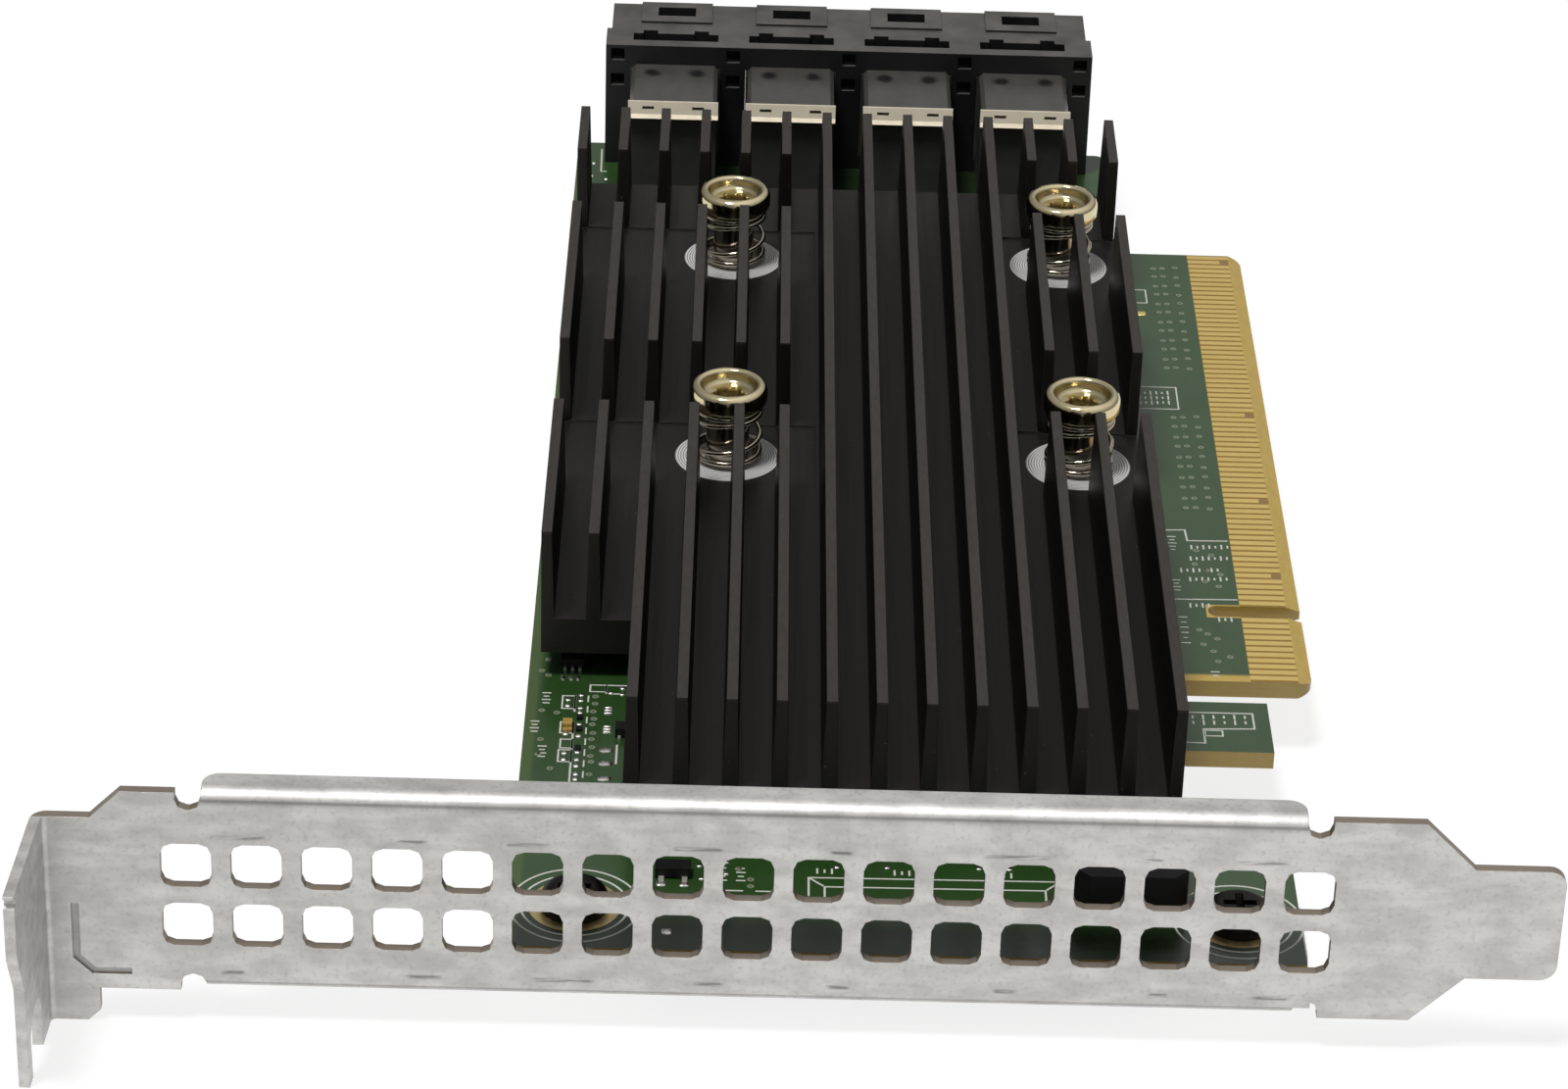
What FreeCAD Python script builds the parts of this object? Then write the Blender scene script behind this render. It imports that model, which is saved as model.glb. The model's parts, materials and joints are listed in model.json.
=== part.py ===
import FreeCAD, Part
import math
import os
import Sketcher

# A low-profile expansion card with a tall slot bracket, a finned heatsink on four
# spring screws and a row of four cable sockets at its rear end.
# Frame: millimetres, +Z up from the component side. The origin is on the centre line
# of the key notch, at the tip of the contact edge, half way through the board.
# +X runs from the board to its contact edge, +Y from the bracket to the sockets.

SIZES = [
    # circuit board
    ("board_thick", 1.57, "board thickness"),
    ("board_height", 68.1, "contact tip to the far long edge"),
    ("board_rear", 95.5, "key notch to the rear edge"),
    ("board_gap", 0.5, "bracket sheet to the board"),
    ("tab_margin", 0.65, "end contacts to the ends of the contact tab"),
    ("shoulder", 12.65, "contact tip to the edge beside the tab"),
    ("lug_reach", 4.3, "contact tip to the lug"),
    ("lug_gap", 3.55, "contact tab to the lug"),
    ("lug_long", 8.1, "lug length"),
    ("corner_long", 19.65, "bracket face to the front corner's rear side"),
    ("key_wide", 1.9, "key notch width"),
    ("key_deep", 8.25, "key notch depth"),
    ("bevel_run", 1.2, "bevel along the contact edge"),
    ("bevel_drop", 0.42, "bevel through the thickness"),
    ("tab_corner", 1.4, "rounding of the tab's corners"),
    ("board_corner", 1.0, "rounding of the board's outer corners"),
    # edge contacts
    ("pad_pitch", 1.0, "contact pitch"),
    ("pad_wide", 0.7, "contact width"),
    ("pad_thick", 0.05, "contact thickness"),
    ("pad_inner", 5.4, "contact tip to the inner end of a pad"),
    ("pad_outer", 1.25, "contact tip to the outer end of a long pad"),
    ("pad_short", 2.15, "contact tip to the outer end of a short pad"),
    ("pad_key", 1.5, "key notch to the pads beside it"),
    # slot bracket
    ("bracket_reach", 57.15, "key notch to the bracket's outer face"),
    ("sheet", 0.86, "bracket sheet thickness"),
    ("bracket_length", 120.02, "bracket overall length"),
    ("tongue_end", 15.21, "contact tip to the tongue's end"),
    ("plate_low", 3.27, "board middle down to the plate's lower edge"),
    ("plate_wide", 18.42, "plate width"),
    ("tongue_wide", 10.19, "tongue width"),
    ("tongue_long", 7.21, "straight part of the tongue"),
    ("tongue_corner", 1.4, "rounding of the tongue's corners"),
    ("flange_deep", 11.43, "flange depth"),
    ("flange_wide", 19.05, "flange width"),
    ("flange_drop", 2.46, "flange top below the plate's upper edge"),
    ("flange_lean", 0.55, "outward lean of the flange at its edge"),
    ("flange_ear", 9.43, "flange depth beside the screw slot"),
    ("flange_step", 13.2, "flange foot to the start of the full depth"),
    ("head_long", 3.67, "flange to the slope of the upper edge"),
    ("foot_long", 3.95, "flange to the side of the plate's foot"),
    ("foot_chamfer", 1.0, "chamfer of the plate's foot"),
    ("slot_wide", 4.42, "screw slot width"),
    ("slot_deep", 5.4, "screw slot depth"),
    ("slot_place", 5.85, "bracket face to the screw slot's middle"),
    ("nick", 0.45, "radius of the nick in the flange edge"),
    ("nick_place", 0.75, "flange top to the nick"),
    ("lip_left_inset", 13.26, "flange to the lips' left ends"),
    ("lip_right_inset", 20.61, "tongue end to the lips' right ends"),
    ("lip_deep", 3.05, "lip depth from the outer face"),
    ("bend_outer", 1.3, "outer bend radius"),
    ("relief_wide", 2.0, "bend relief width"),
    ("relief_deep", 1.55, "bend relief depth"),
    ("relief_corner", 0.9, "bend relief corner radius"),
    ("vent", 4.0, "vent width and height"),
    ("vent_corner", 0.95, "vent corner radius"),
    ("vent_rows_apart", 5.5, "middle of one row of vents to the other"),
    ("vent_columns", 17, "vents in a row"),
    ("vent_left_inset", 11.97, "flange to the first vents' middle"),
    ("vent_right_inset", 20.05, "tongue end to the last vents' middle"),
    ("vent_middle", 5.72, "board middle up to the middle between the rows"),
    ("bead_wide", 0.6, "pressed groove width"),
    ("bead_deep", 0.2, "pressed groove depth"),
    ("bead_left", 1.95, "flange to the pressed groove"),
    ("bead_long", 4.6, "pressed groove along the plate"),
    ("bead_high", 6.6, "pressed groove up the plate"),
    ("bead_low", 1.35, "plate's lower edge to the pressed groove"),
    ("bead_turn", 1.5, "pressed groove's slanted corner"),
    # bracket tabs and their screws
    ("tab_wide", 11.0, "board tab width"),
    ("tab_reach", 4.6, "screw to the tab's end"),
    ("tab_rise_from", 3.5, "bracket face to the foot of the tab's rise"),
    ("tab_rise_to", 5.0, "bracket face to the head of the tab's rise"),
    ("fix_left_inset", 5.4, "board's far edge to the left board screw"),
    ("fix_right", 9.35, "contact tip to the right board screw"),
    ("fix_inset", 7.35, "bracket face to the board screws"),
    ("fix_radius", 1.45, "board screw thread radius"),
    ("fix_clear", 0.25, "board screw clearance in the board"),
    ("thread_clear", 0.05, "clearance at a thread"),
    ("fix_head", 2.75, "board screw head radius"),
    ("fix_head_high", 1.9, "board screw head height"),
    ("fix_tip", 0.8, "board screw below its tab"),
    # heatsink
    ("fin_inset", 1.5, "board's far edge to the first fin's middle"),
    ("fin_last", 14.15, "contact tip to the last fin's middle"),
    ("fin_thick", 0.9, "fin thickness"),
    ("fin_high", 8.5, "fin height"),
    ("base_thick", 3.4, "heatsink base thickness"),
    ("sink_front_inset", 16.15, "bracket face to the heatsink's front"),
    ("sink_rear_inset", 22.5, "board's rear edge to the heatsink's rear"),
    ("sink_step", 14.35, "key notch to the cut-back front of the first fins"),
    ("cut_long", 12.0, "length of the cross cuts through the fins"),
    ("cut_sink", 0.15, "cross cut below the base's top"),
    ("cut_inset", 0.6, "cross cut to the first whole fin"),
    # spring screws
    ("screw_offset", 4.925, "middle of the fins to the middle of the spring screws"),
    ("screw_y", 36.5, "key notch to the middle of the spring screws"),
    ("screw_span_x", 32.0, "spring screws across the card"),
    ("screw_span_y", 41.0, "spring screws along the card"),
    ("screw_shank", 1.95, "spring screw shank radius"),
    ("screw_clear", 0.2, "spring screw clearance"),
    ("screw_thread", 1.25, "spring screw thread radius"),
    ("screw_head", 3.5, "spring screw head radius"),
    ("screw_head_high", 1.8, "spring screw head height"),
    ("screw_top", 14.1, "board middle up to the screw heads"),
    ("screw_rim", 0.9, "rim round the screw head's socket"),
    ("screw_socket", 1.2, "depth of the screw head's socket"),
    ("screw_tip", 0.2, "spring screw's tip inside its nut"),
    ("nut_flats", 5.0, "nut across its flats"),
    ("nut_high", 1.4, "nut height"),
    ("wire", 0.5, "spring wire diameter"),
    ("coil_radius", 2.42, "spring radius at the wire's middle"),
    ("coil_seat", 0.03, "spring to its seats"),
    ("coil_close", 0.56, "pitch of the spring's closed ends"),
    # switch chip
    ("chip_wide", 27.0, "switch chip width"),
    ("chip_base", 0.9, "switch chip substrate thickness"),
    ("chip_lid", 1.4, "switch chip lid thickness"),
    ("chip_inset", 1.2, "lid inside the substrate's edge"),
    ("pad_gap", 0.2, "thermal pad thickness"),
    # connector
    ("port_middle", 40.0, "contact tip to the middle of the sockets"),
    ("port_span", 36.0, "first socket to the last"),
    ("ports", 4, "sockets in the row"),
    ("house_front_inset", 4.8, "board's rear edge to the housing's front"),
    ("house_step_inset", 0.5, "board's rear edge to the step in the housing's sides"),
    ("house_overhang", 6.0, "board's rear edge to the housing's rear"),
    ("house_side", 2.5, "housing side wall at its front"),
    ("house_side_rear", 2.0, "housing side wall at its rear"),
    ("house_high", 13.4, "housing height"),
    ("socket_wide", 9.4, "socket width"),
    ("socket_high", 9.4, "socket height"),
    ("socket_floor", 1.5, "housing floor thickness"),
    ("land_wide", 7.4, "width of the raised latch lands"),
    ("land_long", 5.0, "length of the raised latch lands"),
    ("land_high", 0.25, "height of the raised latch lands"),
    ("window_wide", 3.9, "latch window width"),
    ("window_long", 2.2, "latch window length"),
    ("window_rear", 1.3, "latch window to the housing's rear"),
    ("gate_wide", 8.8, "width of the wide top slot"),
    ("gate_long", 1.8, "length of the wide top slot"),
    ("gate_front", 1.4, "wide top slot to the housing's front"),
    ("gate_ear", 1.5, "width of the wide slot's ears"),
    ("gate_ear_long", 0.8, "length of the wide slot's ears"),
    ("gate_ear_place", 1.0, "wide slot's end to its ears"),
    ("rib_hole_wide", 1.4, "width of the holes between the sockets"),
    ("rib_hole_high", 1.3, "height of the holes between the sockets"),
    ("rib_hole_deep", 2.0, "depth of the holes between the sockets"),
    ("rib_hole_top", 1.05, "housing top to the upper holes' middle"),
    ("rib_hole_pitch", 2.8, "pitch of the holes between the sockets"),
    # contact modules and their clips
    ("module_wide", 8.9, "module width"),
    ("module_high", 11.3, "module height"),
    ("module_long", 9.1, "module length in front of the housing"),
    ("module_chamfer", 0.4, "chamfer of the module's upper edges"),
    ("nose_clear", 0.02, "nose clearance in its socket"),
    ("nose_long", 4.3, "nose length"),
    ("card_slot_wide", 7.6, "width of the slot in the nose"),
    ("card_slot_high", 1.2, "height of the slot in the nose"),
    ("card_slot_deep", 3.6, "depth of the slot in the nose"),
    ("clip_thick", 0.25, "clip sheet thickness"),
    ("clip_wide", 9.2, "clip width"),
    ("clip_high", 1.75, "clip height"),
    ("clip_flare", 0.35, "outward turn of the clip's lower edge"),
    ("clip_slot_wide", 1.2, "clip slot width"),
    ("clip_slot_high", 0.35, "clip slot height"),
    ("clip_slot_span", 5.1, "distance between the clip slots"),
    # small parts on the board
    ("choke_wide", 9.2, "moulded choke width"),
    ("choke_long", 8.0, "moulded choke length"),
    ("choke_high", 4.5, "moulded choke height"),
    ("choke_chamfer", 1.2, "moulded choke corner chamfer"),
    ("choke_x", 18.15, "contact tip to the choke"),
    ("choke_inset", 10.65, "bracket face to the choke"),
    ("lead_thick", 0.15, "lead thickness"),
    ("lead_reach", 0.45, "lead reach from its package"),
    ("sot_wide", 2.9, "transistor width"),
    ("sot_long", 1.4, "transistor length"),
    ("sot_high", 1.0, "transistor height"),
    ("sot_lead", 0.45, "transistor lead width"),
    ("sot_pitch", 1.9, "transistor lead pitch"),
    ("sot_edge", 13.2, "board's far edge to the transistor"),
    ("sot_inset", 12.25, "bracket face to the transistor"),
    ("six_wide", 2.0, "six-lead chip width"),
    ("six_long", 1.25, "six-lead chip length"),
    ("six_high", 0.95, "six-lead chip height"),
    ("six_lead", 0.25, "six-lead chip lead width"),
    ("six_pitch", 0.65, "six-lead chip lead pitch"),
    ("driver_edge", 8.8, "board's far edge to the driver chip"),
    ("driver_y", 23.5, "key notch to the driver chip"),
    ("sensor_edge", 3.75, "board's far edge to the sensor chip"),
    ("sensor_y", 12.2, "key notch to the sensor chip"),
    ("led_wide", 0.8, "indicator width"),
    ("led_long", 1.6, "indicator length"),
    ("led_base", 0.25, "indicator base thickness"),
    ("led_high", 0.6, "indicator height"),
    ("led_lens", 1.0, "indicator lens length"),
    ("led_edge", 3.7, "board's far edge to the indicator"),
    ("led_y", 22.5, "key notch to the indicator"),
]

FIN_COUNT = 14
SHORT_FINS = 2
WHOLE_FINS = (6, 10)
KEY_PAD = 11
LAST_PAD = 82
SHORT_PADS_UPPER = (17, 31, 48, 81)
SHORT_PADS_LOWER = (1,)
CLOSED_TURNS = 1.5
FREE_TURNS = 1.25
SECTIONS_PER_TURN = 8
WIRE_SIDES = 6
TOUCH = 1e-4

doc = FreeCAD.newDocument("extender_card")
sheet_object = doc.addObject("Spreadsheet::Sheet", "Sizes")
for row, (alias, number, meaning) in enumerate(SIZES, 1):
    sheet_object.set(f"A{row}", meaning)
    sheet_object.set(f"B{row}", str(number))
    sheet_object.setAlias(f"B{row}", alias)
doc.recompute()


class Size:
    """A length that carries its number and the sheet formula that it comes from."""

    def __init__(self, number, formula):
        self.number = number
        self.formula = formula

    def __add__(self, other):
        other = as_size(other)
        return Size(self.number + other.number, f"({self.formula} + {other.formula})")

    def __sub__(self, other):
        other = as_size(other)
        return Size(self.number - other.number, f"({self.formula} - {other.formula})")

    def __mul__(self, factor):
        factor = as_size(factor)
        return Size(self.number * factor.number, f"({self.formula} * {factor.formula})")

    def __truediv__(self, factor):
        return Size(self.number / factor, f"({self.formula} / {factor})")

    def __neg__(self):
        return Size(-self.number, f"(0 - {self.formula})")


def as_size(value):
    return value if isinstance(value, Size) else Size(float(value), f"({float(value)})")


class Sheet:
    """The spreadsheet's cells, each by its alias."""

    def __getattr__(self, alias):
        return Size(float(sheet_object.get(alias)), f"Sizes.{alias}")


s = Sheet()
nodes = []


def new_body(label, is_node=True):
    body = doc.addObject("PartDesign::Body", label)
    body.Label = label
    if is_node:
        nodes.append(body)
    return body


def sketch_on(body, name, role, offset=0.0):
    """A sketch on one of the body's own origin planes, moved along its normal."""
    sketch = body.newObject("Sketcher::SketchObject", name)
    support = next(f for f in body.Origin.OriginFeatures if f.Role == role)
    sketch.AttachmentSupport = [(support, "")]
    sketch.MapMode = "FlatFace"
    sketch.setExpression("AttachmentOffset.Base.z", as_size(offset).formula)
    return sketch


def bind(sketch, kind, elements, size):
    """Adds one dimension to a sketch and ties it to the sheet."""
    index = sketch.addConstraint(Sketcher.Constraint(kind, *elements, size.number))
    sketch.renameConstraint(index, f"{kind}_{index}")
    sketch.setExpression(f"Constraints.{kind}_{index}", size.formula)


def polygon(sketch, corners):
    corners = [(as_size(x), as_size(y)) for x, y in corners]
    points = [FreeCAD.Vector(x.number, y.number, 0) for x, y in corners]
    count = len(points)
    first = sketch.GeometryCount
    for i in range(count):
        sketch.addGeometry(Part.LineSegment(points[i], points[(i + 1) % count]), False)
    for i in range(count):
        following = first + (i + 1) % count
        sketch.addConstraint(Sketcher.Constraint("Coincident", first + i, 2, following, 1))
    for i, (x, y) in enumerate(corners):
        bind(sketch, "DistanceX", (-1, 1, first + i, 1), x)
        bind(sketch, "DistanceY", (-1, 1, first + i, 1), y)


def rectangle(sketch, x0, x1, y0, y1):
    polygon(sketch, [(x0, y0), (x1, y0), (x1, y1), (x0, y1)])


def rounded_rectangle(sketch, x0, x1, y0, y1, radius):
    r = radius.number
    left, right, low, high = x0.number, x1.number, y0.number, y1.number
    up = FreeCAD.Vector(0, 0, 1)

    def line(ax, ay, bx, by):
        return Part.LineSegment(FreeCAD.Vector(ax, ay, 0), FreeCAD.Vector(bx, by, 0))

    def corner(x, y, quarter):
        circle_at = Part.Circle(FreeCAD.Vector(x, y, 0), up, r)
        return Part.ArcOfCircle(circle_at, quarter * math.pi / 2, (quarter + 1) * math.pi / 2)

    first = sketch.GeometryCount
    sketch.addGeometry(
        [
            line(left + r, low, right - r, low),
            corner(right - r, low + r, 3),
            line(right, low + r, right, high - r),
            corner(right - r, high - r, 0),
            line(right - r, high, left + r, high),
            corner(left + r, high - r, 1),
            line(left, high - r, left, low + r),
            corner(left + r, low + r, 2),
        ],
        False,
    )
    for i in range(8):
        following = first + (i + 1) % 8
        sketch.addConstraint(Sketcher.Constraint("Tangent", first + i, 2, following, 1))
    for i, kind in ((0, "Horizontal"), (2, "Vertical"), (4, "Horizontal"), (6, "Vertical")):
        sketch.addConstraint(Sketcher.Constraint(kind, first + i))
    for i in (1, 3, 5, 7):
        bind(sketch, "Radius", (first + i,), radius)
    bind(sketch, "DistanceX", (-1, 1, first + 6, 1), x0)
    bind(sketch, "DistanceX", (-1, 1, first + 2, 1), x1)
    bind(sketch, "DistanceY", (-1, 1, first, 1), y0)
    bind(sketch, "DistanceY", (-1, 1, first + 4, 1), y1)


def faceted_rectangle(sketch, x0, x1, y0, y1, radius):
    """A rounded rectangle with two short sides in place of each arc, to keep repeats light."""
    bow = radius * (1 - math.sqrt(0.5))
    polygon(sketch, [
        (x0 + radius, y0), (x1 - radius, y0), (x1 - bow, y0 + bow),
        (x1, y0 + radius), (x1, y1 - radius), (x1 - bow, y1 - bow),
        (x1 - radius, y1), (x0 + radius, y1), (x0 + bow, y1 - bow),
        (x0, y1 - radius), (x0, y0 + radius), (x0 + bow, y0 + bow),
    ])


def circle(sketch, x, y, radius):
    x, y = as_size(x), as_size(y)
    middle = FreeCAD.Vector(x.number, y.number, 0)
    index = sketch.addGeometry(Part.Circle(middle, FreeCAD.Vector(0, 0, 1), radius.number), False)
    bind(sketch, "DistanceX", (-1, 1, index, 3), x)
    bind(sketch, "DistanceY", (-1, 1, index, 3), y)
    bind(sketch, "Radius", (index,), radius)


def volume_of(body):
    return 0.0 if body.Tip is None else body.Tip.Shape.Volume


def settle(feature, before, sign):
    """Recomputes and makes sure that the feature added or removed material."""
    doc.recompute()
    change = (feature.Shape.Volume - before) * sign
    if change <= TOUCH:
        raise RuntimeError(f"{feature.Label} changes nothing")
    return feature


def pad(body, sketch, length, toward_minus=False, both_sides=False):
    before = volume_of(body)
    feature = body.newObject("PartDesign::Pad", sketch.Name + "_pad")
    feature.Profile = sketch
    feature.setExpression("Length", as_size(length).formula)
    feature.Reversed = toward_minus
    if both_sides:
        feature.SideType = "Symmetric"
    return settle(feature, before, 1)


def pocket(body, sketch, length=None, along_normal=False):
    """Cuts right through when no length is given, otherwise against the sketch's normal."""
    before = volume_of(body)
    feature = body.newObject("PartDesign::Pocket", sketch.Name + "_cut")
    feature.Profile = sketch
    if length is None:
        feature.Type = "ThroughAll"
        feature.SideType = "Symmetric"
    else:
        feature.setExpression("Length", as_size(length).formula)
        feature.Reversed = along_normal
    return settle(feature, before, -1)


def repeat(body, feature, span, count, sign):
    """Repeats a pad or pocket along its sketch's horizontal axis, over the given span."""
    before = volume_of(body)
    pattern = body.newObject("PartDesign::LinearPattern", feature.Name + "_row")
    pattern.Originals = [feature]
    pattern.Direction = (feature.Profile[0], ["H_Axis"])
    pattern.setExpression("Length", span.formula)
    pattern.setExpression("Occurrences", as_size(count).formula)
    body.Tip = pattern
    return settle(pattern, before, sign)


def revolve(body, sketch):
    feature = body.newObject("PartDesign::Revolution", sketch.Name + "_turn")
    feature.Profile = sketch
    feature.ReferenceAxis = (sketch, ["V_Axis"])
    feature.Angle = 360.0
    return settle(feature, 0.0, 1)


def near(value, size):
    return abs(value - as_size(size).number) < TOUCH


def dress(body, kind, radius, wanted):
    """Rounds or chamfers the edges of the body's tip that the test picks out."""
    shape = body.Tip.Shape
    names = [f"Edge{i}" for i, edge in enumerate(shape.Edges, 1) if wanted(edge)]
    if not names:
        raise RuntimeError(f"no edge to dress on {body.Label}")
    base = body.Tip
    feature = body.newObject(f"PartDesign::{kind}", f"{body.Name}_{kind}")
    feature.Base = (base, names)
    prop = "Radius" if kind == "Fillet" else "Size"
    feature.setExpression(prop, as_size(radius).formula)
    doc.recompute()
    return feature


def upright_at(places):
    """Picks the upright edges that stand at the given X, Y places."""

    def wanted(edge):
        ends = [v.Point for v in edge.Vertexes]
        if len(ends) != 2 or abs(ends[0].z - ends[1].z) < TOUCH:
            return False
        return any(all(near(p.x, x) and near(p.y, y) for p in ends) for x, y in places)

    return wanted


def box(name, x0, x1, y0, y1, z0, z1):
    """A box between two corners, tied to the sheet."""
    block = doc.addObject("Part::Box", name)
    for prop, low, high in (("Length", x0, x1), ("Width", y0, y1), ("Height", z0, z1)):
        block.setExpression(prop, (as_size(high) - low).formula)
    for axis, low in zip("xyz", (x0, y0, z0)):
        block.setExpression(f"Placement.Base.{axis}", as_size(low).formula)
    return block


def joined(label, pieces):
    """One sub-part fused from several blocks."""
    whole = doc.addObject("Part::MultiFuse", label)
    whole.Shapes = pieces
    whole.Label = label
    nodes.append(whole)
    return whole


def group(label, shapes):
    """Separate like solids that share one node."""
    feature = doc.addObject("Part::Feature", label)
    feature.Shape = Part.makeCompound(shapes)
    feature.Label = label
    nodes.append(feature)
    return feature


def copies(shape, places):
    result = []
    for x, y in places:
        piece = shape.copy()
        piece.translate(FreeCAD.Vector(x.number, y.number, 0))
        result.append(piece)
    return result


# places that several sub-parts share
board_top = s.board_thick / 2
board_under = -(s.board_thick / 2)
plate_face = -s.bracket_reach
plate_back = plate_face + s.sheet
board_front = plate_back + s.board_gap
plate_bottom = -s.plate_low
plate_top = plate_bottom + s.plate_wide
flange_outer = s.tongue_end - s.bracket_length
flange_inner = flange_outer + s.sheet
flange_top = plate_top - s.flange_drop
flange_foot = flange_top - s.flange_wide
far_edge = -s.board_height
tab_front = -s.pad_key - s.pad_pitch * (KEY_PAD - 1) - s.tab_margin
tab_rear = s.pad_key + s.pad_pitch * (LAST_PAD - KEY_PAD - 1) + s.tab_margin
lug_rear = tab_front - s.lug_gap
lug_front = lug_rear - s.lug_long
lip_left = flange_outer + s.lip_left_inset
lip_right = s.tongue_end - s.lip_right_inset
fix_row = plate_face + s.fix_inset
fix_places = [(far_edge + s.fix_left_inset, fix_row), (-s.fix_right, fix_row)]
first_fin = far_edge + s.fin_inset
last_fin = -s.fin_last
fin_pitch = (last_fin - first_fin) / (FIN_COUNT - 1)
sink_front = plate_face + s.sink_front_inset
sink_rear = s.board_rear - s.sink_rear_inset
screw_middle = (first_fin + last_fin) / 2 + s.screw_offset
screw_places = [
    (screw_middle + s.screw_span_x * sx / 2, s.screw_y + s.screw_span_y * sy / 2)
    for sx in (-1, 1)
    for sy in (-1, 1)
]
chip_top = board_top + s.chip_base + s.chip_lid
base_low = chip_top + s.pad_gap
base_top = base_low + s.base_thick
cut_floor = base_top - s.cut_sink
screw_head_low = s.screw_top - s.screw_head_high
house_top = board_top + s.house_high
socket_low = board_top + s.socket_floor
first_port = -s.port_middle - s.port_span / 2
port_pitch = s.port_span / (int(s.ports.number) - 1)
house_front = s.board_rear - s.house_front_inset
house_step = s.board_rear - s.house_step_inset
house_rear = s.board_rear + s.house_overhang
module_front = house_front - s.module_long


def make_board():
    body = new_body("circuit_board")
    outline = sketch_on(body, "board_outline", "XY_Plane", board_under)
    half_key = s.key_wide / 2
    corner_rear = plate_face + s.corner_long
    polygon(
        outline,
        [
            (far_edge, board_front),
            (-s.lug_reach, board_front),
            (-s.lug_reach, corner_rear),
            (-s.shoulder, corner_rear),
            (-s.shoulder, lug_front),
            (-s.lug_reach, lug_front),
            (-s.lug_reach, lug_rear),
            (-s.shoulder, lug_rear),
            (-s.shoulder, tab_front),
            (0, tab_front),
            (0, -half_key),
            (-s.key_deep, -half_key),
            (-s.key_deep, half_key),
            (0, half_key),
            (0, tab_rear),
            (-s.shoulder, tab_rear),
            (-s.shoulder, s.board_rear),
            (far_edge, s.board_rear),
        ],
    )
    pad(body, outline, s.board_thick)
    dress(body, "Fillet", s.key_wide * 0.45, upright_at(
        [(-s.key_deep, -half_key), (-s.key_deep, half_key)]))
    dress(body, "Fillet", s.board_corner, upright_at([
        (far_edge, s.board_rear),
        (-s.shoulder, s.board_rear),
    ]))
    dress(body, "Fillet", s.tab_corner, upright_at([(0, tab_front), (0, tab_rear)]))
    bevels = sketch_on(body, "contact_bevels", "XZ_Plane")
    for side in (1, -1):
        face = board_top * side
        polygon(bevels, [(-s.bevel_run, face), (0, face - s.bevel_drop * side), (0, face)])
    pocket(body, bevels)
    holes = sketch_on(body, "board_holes", "XY_Plane")
    for x, y in fix_places:
        circle(holes, x, y, s.fix_radius + s.fix_clear)
    for x, y in screw_places:
        circle(holes, x, y, s.screw_thread + s.screw_clear)
    pocket(body, holes)


def pad_position(number):
    """Middle of a contact along the card: the key notch stands between pads 11 and 12."""
    if number <= KEY_PAD:
        return -s.pad_key - s.pad_pitch * (KEY_PAD - number)
    return s.pad_key + s.pad_pitch * (number - KEY_PAD - 1)


def make_contacts(label, low, short_pads):
    solids = []
    for number in range(1, LAST_PAD + 1):
        outer = s.pad_short if number in short_pads else s.pad_outer
        corner = FreeCAD.Vector(
            -s.pad_inner.number, (pad_position(number) - s.pad_wide / 2).number, low.number)
        solids.append(Part.makeBox(
            (s.pad_inner - outer).number, s.pad_wide.number, s.pad_thick.number, corner))
    group(label, solids)


def plate_outline(sketch):
    middle = plate_bottom + s.plate_wide / 2
    tongue_low = middle - s.tongue_wide / 2
    tongue_high = middle + s.tongue_wide / 2
    tongue_start = s.tongue_end - s.tongue_long
    taper_start = tongue_start - (s.plate_wide - s.tongue_wide) / 2
    head_end = flange_inner + s.head_long
    foot_side = flange_inner + s.foot_long
    polygon(sketch, [
        (flange_outer, flange_foot),
        (foot_side - s.foot_chamfer, flange_foot),
        (foot_side, flange_foot + s.foot_chamfer),
        (foot_side, plate_bottom),
        (taper_start, plate_bottom),
        (tongue_start, tongue_low),
        (s.tongue_end, tongue_low),
        (s.tongue_end, tongue_high),
        (tongue_start, tongue_high),
        (taper_start, plate_top),
        (head_end + s.flange_drop, plate_top),
        (head_end, flange_top),
        (flange_outer, flange_top),
    ])


def bracket_flange(body):
    """The screw flange, folded towards the outside, with its slot, step and nick."""
    fold = sketch_on(body, "flange_section", "XY_Plane", flange_foot)
    edge = plate_face - s.flange_deep
    polygon(fold, [
        (flange_outer, plate_face),
        (flange_outer - s.flange_lean, edge),
        (flange_inner - s.flange_lean, edge),
        (flange_inner, plate_face),
    ])
    pad(body, fold, s.flange_wide)
    cuts = sketch_on(body, "flange_cuts", "YZ_Plane")
    ear = plate_face - s.flange_ear
    step = s.flange_deep - s.flange_ear
    clear = s.flange_deep
    polygon(cuts, [
        (edge - clear, flange_foot - clear),
        (ear, flange_foot - clear),
        (ear, flange_foot + s.flange_step - step * 2),
        (edge, flange_foot + s.flange_step),
        (edge - clear, flange_foot + s.flange_step),
    ])
    slot_middle = plate_face - s.slot_place
    rounded_rectangle(
        cuts,
        slot_middle - s.slot_wide / 2,
        slot_middle + s.slot_wide / 2,
        flange_foot - clear,
        flange_foot + s.slot_deep,
        s.slot_wide * 0.45,
    )
    circle(cuts, edge, flange_top - s.nick_place, s.nick)
    pocket(body, cuts)


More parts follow.
